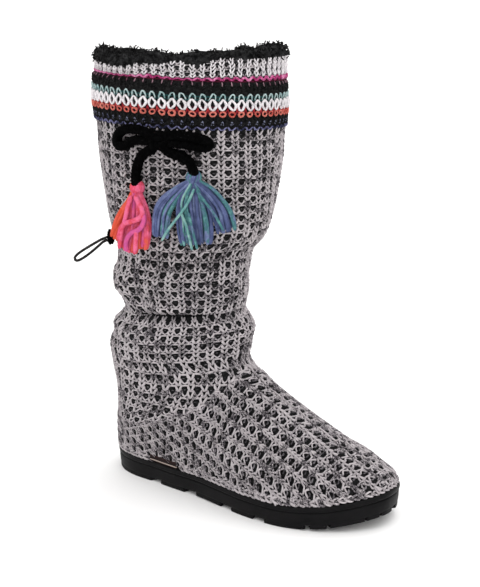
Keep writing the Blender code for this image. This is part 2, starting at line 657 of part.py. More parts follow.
def main():
    clear_scene()
    parts = new_collection("slipper_boot")
    cutters = new_collection("forms")
    rubber = material("rubber", (0.020, 0.019, 0.020), 0.45)
    knit = material("knit", (0.42, 0.40, 0.41), 0.95)
    fleece = material("fleece", (0.018, 0.018, 0.019), 0.95)
    cord = material("cord", (0.012, 0.012, 0.012), 0.9)
    pink = material("pink_yarn", (0.80, 0.14, 0.28), 0.9)
    blue = material("blue_yarn", (0.15, 0.24, 0.42), 0.9)
    woven = material("woven_tab", (0.10, 0.04, 0.03), 0.8)
    build_outsole(parts, cutters, rubber)
    build_insole(parts, fleece)
    build_upper(parts, knit)
    build_collar(parts, fleece)
    build_bow(parts, cord)
    build_tassel("tassel_back", TASSELS["tassel_back"], parts, cutters, pink)
    build_tassel("tassel_front", TASSELS["tassel_front"], parts, cutters, blue)
    build_back_loop(parts, cord)
    build_side_tab(parts, woven)


main()
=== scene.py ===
"""Looks of the knitted slipper boot: yarn, fleece, bow, tassels, rubber and trim.

Metres, +Z up, +X towards the toe, +Y medial.  Sizes in the tables are millimetres; heights
called levels are millimetres up the knit from the top of the sole.
"""
import math

import bmesh
import bpy
import numpy as np
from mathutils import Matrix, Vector


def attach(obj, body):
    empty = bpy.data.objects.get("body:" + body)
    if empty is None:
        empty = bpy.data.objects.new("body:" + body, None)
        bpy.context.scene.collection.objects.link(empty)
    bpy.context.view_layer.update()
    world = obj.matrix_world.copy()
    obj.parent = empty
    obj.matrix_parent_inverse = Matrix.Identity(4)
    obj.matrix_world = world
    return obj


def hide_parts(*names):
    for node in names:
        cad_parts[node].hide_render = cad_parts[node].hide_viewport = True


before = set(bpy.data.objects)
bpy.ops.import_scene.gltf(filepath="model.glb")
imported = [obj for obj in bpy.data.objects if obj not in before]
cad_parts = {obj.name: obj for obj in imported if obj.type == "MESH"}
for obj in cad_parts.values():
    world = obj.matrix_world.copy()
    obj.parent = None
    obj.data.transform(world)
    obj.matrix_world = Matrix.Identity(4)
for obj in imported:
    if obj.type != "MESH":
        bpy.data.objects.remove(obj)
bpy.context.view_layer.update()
MM = 0.001
RNG = np.random.default_rng(11)
SKY_GAIN = 1.17                          # how much lighter the even sky makes a dye

# ---- form of the boot, as in the part's source -----------------------------------------------
SOLE_LENGTH = 268 * MM
HEEL_BACK_X = -40 * MM
SOLE_HEIGHT = 18.3 * MM
LUG_HEIGHT = 3.5 * MM
TOE_SPRING = 11.5 * MM
TOE_SPRING_START = 0.72
HEEL_ROUND = 3.0 * MM
HEEL_ROUND_LENGTH = 25 * MM
ARCH_RISE = 0.8 * MM
ARCH_RANGE = (0.28, 0.60)
WALL = 3.0 * MM
GAP = 0.3 * MM
SOLE_INSET = 0.6 * MM
OUTLINE = {
    "station": (-1.00, -0.80, -0.50, -0.25, 0.00, 0.25, 0.50, 0.75, 1.00),
    "lateral": (68.0, 56.0, 44.5, 43.4, 47.5, 54.5, 60.5, 62.5, 52.0),
    "medial": (60.0, 51.0, 38.5, 35.7, 38.5, 47.0, 57.5, 68.0, 84.0),
}
SECTION_COLUMNS = ("level", "back_x", "back_z", "front_x", "front_z",
                   "last", "heel", "middle", "fore", "medial")
SECTIONS = (
    (0, 0.8, 18.6, 267.2, 30.2, 1.00, 66, 46, 50, 0.90),
    (6, 0.0, 24.0, 265.8, 33.0, 1.00, 66, 46, 50, 0.90),
    (18, 0.0, 36.0, 258.0, 38.0, 0.94, 64, 44, 46, 0.90),
    (29, 0.3, 47.0, 246.0, 42.5, 0.80, 61, 42, 42, 0.92),
    (39, 0.5, 57.0, 229.5, 48.5, 0.55, 59, 41, 38, 0.94),
    (50, 0.5, 68.0, 210.0, 59.5, 0.30, 57, 40, 34, 0.96),
    (61, 0.0, 79.0, 184.5, 74.0, 0.12, 56, 41, 32, 0.98),
    (72, -1.5, 90.0, 155.0, 89.0, 0.00, 55, 43, 36, 1.00),
    (83, -3.6, 101.0, 134.5, 102.0, 0.00, 52, 45, 42, 1.00),
    (94, -5.4, 112.0, 127.0, 115.0, 0.00, 50, 47, 46, 1.00),
    (105, -5.4, 122.0, 127.5, 125.0, 0.00, 49, 48, 47, 1.00),
    (114, -2.8, 131.0, 128.2, 133.0, 0.00, 48, 48, 47, 1.00),
    (124, 8.5, 141.0, 124.5, 141.5, 0.00, 47, 47, 46, 1.00),
    (131, 14.0, 148.5, 119.0, 148.5, 0.00, 46, 46, 45, 1.00),
    (139, 10.5, 156.5, 120.5, 156.5, 0.00, 47, 47, 46, 1.00),
    (149, 2.8, 166.0, 122.7, 166.0, 0.00, 49, 49, 48, 1.00),
    (160, 2.0, 177.0, 122.7, 177.0, 0.00, 50, 50, 49, 1.00),
    (170, 7.0, 187.0, 124.5, 187.0, 0.00, 50, 50, 49, 1.00),
    (181, 7.5, 198.0, 126.0, 198.0, 0.00, 50, 50, 50, 1.00),
    (196, 2.5, 213.5, 138.0, 212.5, 0.00, 55, 55, 55, 1.00),
    (211, -1.0, 229.0, 143.8, 227.0, 0.00, 58, 58, 58, 1.00),
    (237, -4.5, 255.5, 149.5, 252.5, 0.00, 62, 62, 62, 1.00),
    (262, -7.5, 281.5, 153.2, 277.5, 0.00, 65, 65, 65, 1.00),
    (284, -9.0, 304.0, 154.8, 299.5, 0.00, 66, 66, 66, 1.00),
    (286, -11.5, 306.0, 157.0, 301.5, 0.00, 67, 67, 67, 1.00),
    (305, -13.8, 326.0, 158.0, 320.5, 0.00, 67, 67, 67, 1.00),
    (319, -12.8, 341.0, 157.5, 334.5, 0.00, 67, 67, 67, 1.00),
    (321, -10.6, 343.0, 156.6, 336.5, 0.00, 66, 66, 66, 1.00),
    (331, -9.0, 348.0, 156.0, 350.0, 0.00, 66, 66, 66, 1.00),
)
RIM = {"angle": (0, 50, 120, 180, 230, 262, 279, 294, 326, 360),
       "rise": (0.5, 1.0, -4.5, 0.0, -1.5, -4.0, -0.5, -4.5, -2.0, 0.5)}
RIM_BLEND = (321, 331)
SEAT_LEVEL = 29
SEAT_RISE = 0.9
INSET_LEVEL = 6
TOP_LEVEL = 331
FOLD_COLUMNS = ("angle", "level", "half_angle", "half_height", "depth", "slant")
FOLDS = (
    (262, 142, 12, 17, -6.0, 0.0),
    (292, 131, 34, 6, -4.0, 0.10),
    (238, 150, 18, 14, 2.5, 0.0),
    (300, 178, 46, 8, -3.0, 0.12),
    (100, 136, 30, 8, -4.0, -0.10),
    (150, 150, 14, 18, -4.0, 0.0),
    (70, 172, 34, 9, -3.5, 0.10),
    (20, 118, 26, 10, 2.0, 0.0),
)
SECTION_TABLE = {name: [row[i] for row in SECTIONS] for i, name in enumerate(SECTION_COLUMNS)}


def smooth_table(xs, ys, x):
    """Monotone cubic through a table: no overshoot between its rows."""
    xs, ys, x = (np.asarray(a, float) for a in (xs, ys, x))
    step = np.diff(xs)
    slope = np.diff(ys) / step
    tangent = np.zeros_like(ys)
    tangent[0], tangent[-1] = slope[0], slope[-1]
    same = slope[:-1] * slope[1:] > 0
    w1, w2 = 2 * step[1:] + step[:-1], step[1:] + 2 * step[:-1]
    inner = np.zeros(len(xs) - 2)
    inner[same] = (w1 + w2)[same] / (w1[same] / slope[:-1][same] + w2[same] / slope[1:][same])
    tangent[1:-1] = inner
    x = np.clip(x, xs[0], xs[-1])
    i = np.clip(np.searchsorted(xs, x, side="right") - 1, 0, len(xs) - 2)
    t = (x - xs[i]) / step[i]
    return ((2 * t**3 - 3 * t**2 + 1) * ys[i] + (t**3 - 2 * t**2 + t) * step[i] * tangent[i]
            + (3 * t**2 - 2 * t**3) * ys[i + 1] + (t**3 - t**2) * step[i] * tangent[i + 1])


def sole_lift(x):
    """Height of the sole's underside above the floor at x: heel edge, arch and toe spring."""
    share = (np.asarray(x, float) - HEEL_BACK_X) / SOLE_LENGTH
    toe = np.clip((share - TOE_SPRING_START) / (1 - TOE_SPRING_START), 0, None)
    heel = np.clip(1 - share * SOLE_LENGTH / HEEL_ROUND_LENGTH, 0, None)
    arch = np.clip((share - ARCH_RANGE[0]) / (ARCH_RANGE[1] - ARCH_RANGE[0]), 0, 1)
    return (TOE_SPRING * toe**2 + HEEL_ROUND * heel**2
            + ARCH_RISE * np.sin(math.pi * arch) ** 2)


def fullness(angle):
    """Fullness of the sole's outline at an angle, in mm."""
    station = np.cos(angle)
    return np.where(np.sin(angle) >= 0,
                    smooth_table(OUTLINE["station"], OUTLINE["medial"], station),
                    smooth_table(OUTLINE["station"], OUTLINE["lateral"], station))


def outline(angle, inset=0.0):
    """Points of the sole's outline at angles round it, moved in by inset."""
    half = SOLE_LENGTH / 2
    return (HEEL_BACK_X + half + (half - inset) * np.cos(angle),
            (fullness(angle) * MM - inset) * np.sin(angle))


def section(name, level):
    """One column of the table of sections, read at a level."""
    return smooth_table(SECTION_TABLE["level"], SECTION_TABLE[name], level)


def fold_depth(angle, level):
    """Sum of the soft folds at places on the upper, in metres, outwards."""
    total = 0.0
    for row in FOLDS:
        fold = dict(zip(FOLD_COLUMNS, row))
        turn = (np.degrees(angle) - fold["angle"] + 180) % 360 - 180
        across = turn / fold["half_angle"]
        along = (level - fold["level"] - fold["slant"] * turn) / fold["half_height"]
        total = total + fold["depth"] * MM * np.exp(-across**2 - along**2)
    return total


def upper_point(angle, level, out=0.0):
    """Points of the upper's outer face; out moves them along the ring's own normal."""
    angle, level = np.broadcast_arrays(np.asarray(angle, float), np.asarray(level, float))
    row = {name: section(name, level) for name in SECTION_COLUMNS[1:]}
    station, ordinate = np.cos(angle), np.sin(angle)
    bend = (row["heel"] + row["fore"]) / 2 - row["middle"]
    lean = (row["fore"] - row["heel"]) / 2
    oval = row["middle"] + lean * station + bend * station**2
    oval = np.where(ordinate >= 0, oval * row["medial"], oval)
    inset = SOLE_INSET / MM * (1 - np.minimum(level / INSET_LEVEL, 1))
    full = row["last"] * (fullness(angle) - inset) + (1 - row["last"]) * oval
    half = (row["front_x"] - row["back_x"]) / 2
    x = row["back_x"] + half * (1 + station)
    y = full * ordinate
    z = (row["back_z"] + row["front_z"]) / 2 + (row["front_z"] - row["back_z"]) / 2 * station
    seat = (SOLE_HEIGHT + GAP + sole_lift(x * MM + HEEL_BACK_X)) / MM
    low = np.clip(1 - level / SEAT_LEVEL, 0, None)
    z = z + low**2 * (seat + level * SEAT_RISE - z)
    wave = smooth_table(RIM["angle"], RIM["rise"], np.degrees(angle) % 360)
    z = z + wave * np.clip((level - RIM_BLEND[0]) / (RIM_BLEND[1] - RIM_BLEND[0]), 0, 1)
    nx, ny = station * full, ordinate * half
    size = np.hypot(nx, ny)
    push = out + fold_depth(angle, level)
    return np.stack((x * MM + HEEL_BACK_X + nx / size * push, y * MM + ny / size * push,
                     z * MM), axis=-1)


SEARCH_STEPS = 40
SEARCH_REACH = 0.98
TURN_STEP = 0.05
LEVEL_STEP = 2


def run_along(points):
    """Length of a path up to each of its points."""
    return np.r_[0, np.cumsum(np.linalg.norm(np.diff(points, axis=0), axis=1))]


def path_length(points):
    """Whole length of a path."""
    return float(np.linalg.norm(np.diff(points, axis=0), axis=1).sum())


def unit(vectors):
    """The same directions, one to a row, at length one."""
    return vectors / np.linalg.norm(vectors, axis=1)[:, None]


def turns(count):
    """Even angles round a ring."""
    return 2 * math.pi * np.arange(count) / count


def shaft_point(x, z, lift=0.0):
    """Point over the lateral side of the shaft at x and z (from the origin), lifted off it."""
    level, angle = (z - SOLE_HEIGHT) / MM, math.radians(270)
    for _ in range(SEARCH_STEPS):
        back, front = float(section("back_x", level)) * MM, float(section("front_x", level)) * MM
        station = (x - HEEL_BACK_X - back) / ((front - back) / 2) - 1
        angle = 2 * math.pi - math.acos(max(-SEARCH_REACH, min(SEARCH_REACH, station)))
        level += float((z - upper_point(angle, level)[2]) / MM)
    base = upper_point(angle, level)
    ahead, behind = (upper_point(angle + turn, level) for turn in (TURN_STEP, -TURN_STEP))
    above, below = (upper_point(angle, level + rise) for rise in (LEVEL_STEP, -LEVEL_STEP))
    normal = np.cross(ahead - behind, above - below)
    return base + normal / np.linalg.norm(normal) * lift


FINE_STEPS = 12


def smooth_route(points, steps):
    """Catmull-Rom curve through given points, read at even steps."""
    p = [np.array(point, float) for point in points]
    p = [2 * p[0] - p[1]] + p + [2 * p[-1] - p[-2]]
    fine = []
    for i in range(1, len(p) - 2):
        for t in np.linspace(0, 1, FINE_STEPS, endpoint=False):
            fine.append(0.5 * (2 * p[i] + (p[i + 1] - p[i - 1]) * t
                               + (2 * p[i - 1] - 5 * p[i] + 4 * p[i + 1] - p[i + 2]) * t**2
                               + (3 * p[i] - p[i - 1] - 3 * p[i + 1] + p[i + 2]) * t**3))
    fine = np.array(fine + [p[-2]])
    run = run_along(fine)
    at = np.linspace(0, run[-1], steps)
    return np.stack([np.interp(at, run, fine[:, k]) for k in range(fine.shape[1])], axis=1)


# ---- workshop helpers ------------------------------------------------------------------------
def place_in_scene(name, data):
    """A new object for a mesh, a camera or a lamp, linked to the scene."""
    made = bpy.data.objects.new(name, data)
    bpy.context.scene.collection.objects.link(made)
    return made


def wire(tree, kind, sockets=None, **settings):
    """Add a node, set its settings, and fill its sockets with values or links."""
    made = tree.nodes.new(kind)
    for key, value in settings.items():
        setattr(made, key, value)
    for key, value in (sockets or {}).items():
        if isinstance(value, bpy.types.NodeSocket):
            tree.links.new(value, made.inputs[key])
        else:
            made.inputs[key].default_value = value
    return made


def reckon(tree, operation, *values):
    """Answer of one sum in a tree."""
    return wire(tree, "ShaderNodeMath", dict(enumerate(values)), operation=operation).outputs[0]


def dye(red, green, blue):
    """Linear colour from a swatch's red, green and blue, 0 to 255, as seen in full light."""
    return tuple((c / 12.92 if c <= 0.04045 else ((c + 0.055) / 1.055) ** 2.4) / SKY_GAIN
                 for c in (red / 255, green / 255, blue / 255)) + (1.0,)


def lay_out(name, verts, faces, finish=None, uv=None, smooth=True):
    """Make a mesh object at the origin.  uv gives one pair for each vertex."""
    mesh = bpy.data.meshes.new(name)
    mesh.from_pydata([tuple(v) for v in verts], [], faces)
    if smooth:
        mesh.polygons.foreach_set("use_smooth", [True] * len(mesh.polygons))
    if uv is not None:
        layer = mesh.uv_layers.new(name="UVMap")
        corner = np.empty(len(mesh.loops), int)
        mesh.loops.foreach_get("vertex_index", corner)
        layer.data.foreach_set("uv", np.asarray(uv, float)[corner].ravel())
    if finish:
        mesh.materials.append(finish)
    mesh.update()
    return place_in_scene(name, mesh)


def closed_shape(name, verts, faces, finish=None, uv=None, smooth=True):
    """Make a closed mesh object with its faces outwards."""
    made = lay_out(name, verts, faces, finish, uv, smooth)
    work = bmesh.new()
    work.from_mesh(made.data)
    bmesh.ops.recalc_face_normals(work, faces=work.faces)
    work.to_mesh(made.data)
    work.free()
    return made


def note_on_points(piece, name, values, kind="FLOAT"):
    """Store a number, or a direction, for each point of a piece."""
    layer = piece.data.attributes.new(name, kind, "POINT")
    layer.data.foreach_set("value" if kind == "FLOAT" else "vector",
                           np.asarray(values, float).reshape(-1))


def grid_faces(rows, columns, closed=False, start=0):
    """Faces of a grid of points stored row by row; closed joins each row's ends."""
    faces = []
    for r in range(rows - 1):
        for c in range(columns if closed else columns - 1):
            d = (c + 1) % columns
            faces.append((start + r * columns + c, start + r * columns + d,
                          start + (r + 1) * columns + d, start + (r + 1) * columns + c))
    return faces


def ring_faces(rows, columns):
    """Faces of a grid closed both ways, its last row joined to its first."""
    last = (rows - 1) * columns
    return grid_faces(rows, columns, closed=True) + [
        (last + c, last + (c + 1) % columns, (c + 1) % columns, c) for c in range(columns)]


def capped_faces(rows, columns):
    """Faces of a closed grid with a flat face over each end."""
    last = (rows - 1) * columns
    return grid_faces(rows, columns, closed=True) + [
        tuple(range(columns))[::-1], tuple(last + k for k in range(columns))]


def stacked(rings):
    """Vertices and faces of rings laid one on another, closed across at both ends."""
    count = len(rings[0])
    faces = grid_faces(len(rings), count, closed=True)
    for start, flip in ((0, True), ((len(rings) - 1) * count, False)):
        for i in range(count // 2):
            quad = list(dict.fromkeys((start + i, start + i + 1,
                                       start + (count - i - 1) % count,
                                       start + (count - i) % count)))
            faces.append(tuple(reversed(quad)) if flip else tuple(quad))
    return np.concatenate(rings), faces


NEARLY_UPRIGHT = 0.1


def tube(points, radii, sides):
    """Rings of a closed tube along points; returns vertices, faces and (run, round) pairs."""
    points = np.asarray(points, float)
    radii = np.broadcast_to(np.asarray(radii, float), len(points))
    run = run_along(points)
    ahead = unit(np.gradient(points, axis=0))
    up = np.cross(ahead[0], (0.0, 0.0, 1.0))
    if np.linalg.norm(up) < NEARLY_UPRIGHT:
        up = np.cross(ahead[0], (1.0, 0.0, 0.0))
    verts, pairs = [], []
    for i, point in enumerate(points):
        up = up - ahead[i] * np.dot(up, ahead[i])
        up /= np.linalg.norm(up)
        side = np.cross(ahead[i], up)
        for a in turns(sides):
            verts.append(point + radii[i] * (up * math.cos(a) + side * math.sin(a)))
            pairs.append((run[i], a / (2 * math.pi)))
    return np.array(verts), capped_faces(len(points), sides), np.array(pairs)


def bundle(name, tubes, finish=None):
    """Join tubes (as made by tube) into one object with its faces outwards."""
    verts, faces, pairs, base = [], [], [], 0
    for v, f, p in tubes:
        verts.append(v)
        faces += [tuple(base + k for k in face) for face in f]
        pairs.append(p)
        base += len(v)
    return closed_shape(name, np.concatenate(verts), faces, finish, np.concatenate(pairs))


def knit_from(name, base, tree, values):
    """Run a geometry tree over a base object and keep the result as a plain mesh."""
    holder = place_in_scene(name + "_base", base.data)
    press = holder.modifiers.new("tree", "NODES")
    press.node_group = tree
    sockets = {item.name: item.identifier for item in tree.interface.items_tree
               if item.item_type == "SOCKET" and item.in_out == "INPUT"}
    for key, value in values.items():
        press[sockets[key]] = value
    bpy.context.view_layer.update()
    graph = bpy.context.evaluated_depsgraph_get()
    mesh = bpy.data.meshes.new_from_object(holder.evaluated_get(graph),
                                           preserve_all_data_layers=True, depsgraph=graph)
    mesh.name = name
    bpy.data.objects.remove(holder, do_unlink=True)
    return place_in_scene(name, mesh)


def open_tree(name, result, inputs):
    """Start a geometry tree: its inputs are named, each with its kind."""
    tree = bpy.data.node_groups.new(name, "GeometryNodeTree")
    for title, kind in inputs.items():
        tree.interface.new_socket(title, in_out="INPUT", socket_type="NodeSocket" + kind)
    tree.interface.new_socket(result, in_out="OUTPUT", socket_type="NodeSocketGeometry")
    return tree, tree.nodes.new("NodeGroupInput").outputs


def close_tree(tree, geometry, finish):
    """End a tree with smooth faces of one material."""
    soft = wire(tree, "GeometryNodeSetShadeSmooth", {"Geometry": geometry})
    done = wire(tree, "GeometryNodeSetMaterial", {"Geometry": soft.outputs[0],
                                                  "Material": finish})
    tree.links.new(done.outputs[0], tree.nodes.new("NodeGroupOutput").inputs[0])
    return tree


def stored(tree, name, kind="FLOAT"):
    """Read a stored attribute."""
    return wire(tree, "GeometryNodeInputNamedAttribute", {"Name": name},
                data_type=kind).outputs[0]


def store(tree, geometry, name, value, domain="POINT", kind="FLOAT"):
    """Store an attribute on a geometry."""
    return wire(tree, "GeometryNodeStoreNamedAttribute",
                {"Geometry": geometry, "Name": name, "Value": value},
                data_type=kind, domain=domain).outputs[0]


def chance(tree, low, high, seed, kind="FLOAT"):
    """A random number, or vector, for each point."""
    first, result = (2, 1) if kind == "FLOAT" else (0, 0)
    return wire(tree, "FunctionNodeRandomValue",
                {first: low, first + 1: high, "Seed": seed}, data_type=kind).outputs[result]


def stand_copies(tree, points, shape, turn, scale, tone):
    """Copies of a shape on points, made real, each with a tone of its own."""
    drawn = wire(tree, "GeometryNodeObjectInfo", {"Object": shape})
    stood = wire(tree, "GeometryNodeInstanceOnPoints",
                 {"Points": points, "Instance": drawn.outputs["Geometry"],
                  "Rotation": turn, "Scale": scale})
    toned = store(tree, stood.outputs[0], "tone", tone, "INSTANCE")
    return wire(tree, "GeometryNodeRealizeInstances", {0: toned}).outputs[0]


def keep(piece, node):
    """A finished piece: it rides on the boot and stands for a node of the CAD part."""
    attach(piece, "root")
    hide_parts(node)
    return piece


def put_away(*helpers):
    """Take helper objects out of the scene."""
    for item in helpers:
        bpy.data.objects.remove(item, do_unlink=True)


# ---- camera, light and floor -----------------------------------------------------------------
CAMERA_PLACE = (653.5, -780.1, 386.6)
CAMERA_AIM = (87.1, -5.0, 167.2)
LENS, SENSOR = 74.8, 36.0
NEAREST, FURTHEST = 0.05, 50             # metres that the camera sees
# Name, direction it comes from, spread in degrees and strength of each lamp.
LAMPS = (("key", (0.26, -1.0, 1.12), 60, 0.75), ("fill", (1.1, -0.35, 1.0), 70, 0.45),
         ("rear", (0.15, 0.9, 1.5), 60, 1.0))
SKY = (1.0, 0.99, 0.98, 1.0)


def set_camera():
    """The camera, a long lens at the boot's outer side."""
    data = bpy.data.cameras.new("camera")
    data.lens, data.sensor_width = LENS, SENSOR
    data.clip_start, data.clip_end = NEAREST, FURTHEST
    made = place_in_scene("camera", data)
    place, aim = Vector(CAMERA_PLACE) * MM, Vector(CAMERA_AIM) * MM
    made.location = place
    made.rotation_euler = (aim - place).to_track_quat("-Z", "Y").to_euler()
    bpy.context.scene.camera = made


def set_light():
    """An even pale sky, and wide soft lamps in front, at the right and behind."""
    for name, place, spread, power in LAMPS:
        data = bpy.data.lights.new(name, "SUN")
        data.angle, data.energy = math.radians(spread), power
        made = place_in_scene(name, data)
        made.location = place
        made.rotation_euler = (-Vector(place)).to_track_quat("-Z", "Y").to_euler()
    world = bpy.data.worlds.new("studio")
    world.use_nodes = True
    sky = world.node_tree.nodes["Background"].inputs
    sky["Color"].default_value, sky["Strength"].default_value = SKY, 1.0
    bpy.context.scene.world = world
    bpy.context.scene.view_settings.view_transform = "Standard"


FLOOR_PAINT, FLOOR_ROUGHNESS = (0.93, 0.93, 0.93, 1.0), 0.7
FLOOR_SEGMENTS = 96
FLOOR_BOWL = ((0.0, 0.0), (1.0, 0.0), (2.0, 0.0), (3.5, 0.0), (4.3, 0.06), (4.9, 0.3),
              (5.3, 0.8), (5.4, 1.5))    # radius and height, in metres, of the pale sweep


def set_floor():
    """A plain pale floor that sweeps up to a low wall all round."""
    finish, *_ = new_finish("floor_paint", FLOOR_PAINT, FLOOR_ROUGHNESS)
    verts = [(0.0, 0.0, 0.0)]
    for radius, height in FLOOR_BOWL[1:]:
        verts += [(radius * math.cos(a), radius * math.sin(a), height)
                  for a in turns(FLOOR_SEGMENTS)]
    faces = [(0, 1 + i, 1 + (i + 1) % FLOOR_SEGMENTS) for i in range(FLOOR_SEGMENTS)]
    faces += [face[::-1] for face in grid_faces(len(FLOOR_BOWL) - 1, FLOOR_SEGMENTS,
                                                closed=True, start=1)]
    lay_out("floor", verts, faces, finish)


# ---- finishes --------------------------------------------------------------------------------
ROUGH_PATCH, ROUGH_CLUMP = 0.65, 0.7     # how broken the edges of patches and clumps are
YARN_ROUGHNESS, YARN_BUMP, YARN_RELIEF = 0.9, 0.5, 0.4 * MM
PLY_RUN = 2.4                            # mm of yarn to a turn of its plies
HAIR_SCALE = 2600.0
PILE_ROUGHNESS, PILE_BUMP, PILE_RELIEF, PILE_CURLS = 0.9, 0.7, 0.6 * MM, 900.0
RUBBER = (0.003, 0.003, 0.0035, 1.0)
RUBBER_DUST = ((0.35, (0.0018, 0.0018, 0.0022, 1.0)), (0.75, (0.0055, 0.005, 0.0055, 1.0)))
RUBBER_ROUGHNESS = (0.42, 0.6)


def new_finish(name, colour, roughness, gloss=0.15):
    """A plain material, with its node tree and its shader."""
    made = bpy.data.materials.new(name)
    made.use_nodes = True
    shader = made.node_tree.nodes["Principled BSDF"]
    for socket, value in (("Base Color", colour), ("Roughness", roughness),
                          ("Specular IOR Level", gloss)):
        shader.inputs[socket].default_value = value
    made.diffuse_color = colour
    return made, made.node_tree, shader


def surface_place(tree):
    """Where on the piece, in metres."""
    return wire(tree, "ShaderNodeTexCoord").outputs["Object"]


def noise(tree, place, scale, detail, rough=0.5):
    """Cloudy noise over a surface."""
    return wire(tree, "ShaderNodeTexNoise", {"Vector": place, "Scale": scale,
                                             "Detail": detail, "Roughness": rough}
                ).outputs["Fac"]


def add_relief(tree, shader, height, strength, depth):
    """Give a finish its finest relief, finer than the mesh."""
    relief = wire(tree, "ShaderNodeBump", {"Height": height, "Strength": strength,
                                           "Distance": depth})
    tree.links.new(relief.outputs["Normal"], shader.inputs["Normal"])


def paint(tree, shader, factor, stops, hold=False):
    """Colour a finish along stops; hold keeps each colour up to the next."""
    made = wire(tree, "ShaderNodeValToRGB", {"Fac": factor})
    band = made.color_ramp
    band.interpolation = "CONSTANT" if hold else "LINEAR"
    while len(band.elements) < len(stops):
        band.elements.new(0.5)
    for element, (place, colour) in zip(band.elements, stops):
        element.position, element.color = place, colour
    tree.links.new(made.outputs["Color"], shader.inputs["Base Color"])


def yarn_finish(name, stops, patch=900.0, tone=0.35):
    """Spun yarn: patches of colour along it, the twist of its plies and fine hairs.
    tone is how much a stitch's own number moves it along the stops."""
    stops = [(place, dye(*swatch)) for place, swatch in stops]
    made, tree, shader = new_finish(name, stops[len(stops) // 2][1], YARN_ROUGHNESS)
    place = surface_place(tree)
    patches = noise(tree, place, patch, 3.0, ROUGH_PATCH)
    mark = wire(tree, "ShaderNodeAttribute", attribute_name="tone")
    own = reckon(tree, "SUBTRACT", mark.outputs["Fac"], 0.5)
    lean = reckon(tree, "MULTIPLY_ADD", own, tone, patches)
    paint(tree, shader, lean, stops)
    hairs = noise(tree, place, HAIR_SCALE, 2.0)
    pair = wire(tree, "ShaderNodeUVMap", uv_map="UVMap")
    part = wire(tree, "ShaderNodeSeparateXYZ", {"Vector": pair.outputs["UV"]})
    turn = reckon(tree, "MULTIPLY_ADD", part.outputs["X"], 1.0 / PLY_RUN, part.outputs["Y"])
    wave = reckon(tree, "SINE", reckon(tree, "MULTIPLY", turn, 4 * math.pi))
    height = reckon(tree, "MULTIPLY_ADD", wave, 0.5, hairs)
    add_relief(tree, shader, height, YARN_BUMP, YARN_RELIEF)
    return made


def pile_finish(name, dark, light, gloss=0.04, scale=420.0):
    """Black pile or knit ground: clumps, their lighter grey a painted sheen on the hairs."""
    made, tree, shader = new_finish(name, dark, PILE_ROUGHNESS, gloss)
    place = surface_place(tree)
    sheen_clumps = noise(tree, place, scale, 4.0, ROUGH_CLUMP)
    # painted sheen: grey laid on the noise's clumps stands for light on the hairs
    paint(tree, shader, sheen_clumps, ((0.4, dark), (0.8, light)))
    curls = wire(tree, "ShaderNodeTexVoronoi", {"Vector": place, "Scale": PILE_CURLS})
    add_relief(tree, shader, curls.outputs["Distance"], PILE_BUMP, PILE_RELIEF)
    return made


def rubber_finish():
    """Satin moulded rubber: fine grain and a slight uneven dust."""
    made, tree, shader = new_finish("rubber", RUBBER, 0.5, gloss=0.09)
    place = surface_place(tree)
    dust = noise(tree, place, 60.0, 6.0, 0.6)
    paint(tree, shader, dust, RUBBER_DUST)
    worn = wire(tree, "ShaderNodeMapRange", {"Value": dust, "To Min": RUBBER_ROUGHNESS[0],
                                             "To Max": RUBBER_ROUGHNESS[1]})
    tree.links.new(worn.outputs["Result"], shader.inputs["Roughness"])
    add_relief(tree, shader, noise(tree, place, 1500.0, 2.0), 0.15, 0.3 * MM)
    return made


# ---- charts: where the stitches lie ----------------------------------------------------------
SHAFT_COLUMNS = 38
BAND_COLUMNS = 64
CELL_WIDTH, CELL_HEIGHT = 10.5, 8.0      # one shaft cell as drawn in the motifs
YARN_SINK = 0.7                          # how far the yarn's drawing sinks into the wall
# By level: mm to a row, how far the columns lean to the outer side, and how they bunch.
ROW_PITCH = ((20, 140, 180, 205, 225, 290), (8.2, 8.4, 8.7, 8.2, 7.3, 7.2))
LEAN_TABLE = ((40, 140, 200, 240, 290), (0.24, 0.24, 0.14, 0.0, -0.08))
LEAN_CENTRE = math.radians(118)
PINCHES = 3                              # times round the leg that the columns bunch
PINCH_TABLE = ((60, 110, 150, 190), (0.083, 0.083, 0.04, 0.0))
PINCH_CENTRE = math.radians(285)
ROW_LEVELS = (20, 340)                   # rows are counted between these levels
STRAIGHT_LEVEL = 83.0                    # from here down the shaft's columns fall straight
HEEL_SHEAR = tuple(np.radians((236.0, 36.0, 0.30)))    # and lean back, on the outer side
ROW_TILT = 12.0                          # mm that the lower rows rise from heel to instep
# mm from the heel, and the level where the shaft's fabric ends there.
FOOT_EDGE = ((0, 37, 70, 91, 105, 119, 128, 134, 142), (29, 30, 42, 52, 58, 67, 75, 84, 88))
SPLIT_X = 133.0                          # the shaft's front columns end here, at the foot
BAND_FOOT, BAND_CENTRE = 284.0, 304.5
CREASES = (                              # angle, level, half angle, half height, mm, slant
    (294, 130.8, 40, 2.3, -6.4, 0.03), (262, 160, 20, 4.0, -2.4, -0.10),
    (300, 150, 22, 4.0, -2.8, 0.12), (240, 120, 16, 5.0, -1.4, 0.0),
    (290, 136.4, 38, 3.2, 3.4, 0.03), (310, 104, 12, 4.0, -1.6, 0.20),
    (250, 182, 22, 5.0, -1.0, 0.06), (296, 196, 20, 5.0, -1.0, -0.08),
    (355, 17, 50, 12.0, -8.0, 0.0), (355, 46, 40, 9.0, 3.0, 0.0), (0, 87, 45, 6.0, -4.5, 0.0),
    (208, 107, 26, 6.0, -3.6, 0.0),
)
# Where the black ground is pushed out through the stitches in the deepest folds, as painted fold
# shadow; in the same columns.
FOLD_SHADOW_GROUND = ((298, 130.7, 42, 1.4, 2.7, 0.03), (222, 135.5, 14, 1.5, 1.4, 0.10))


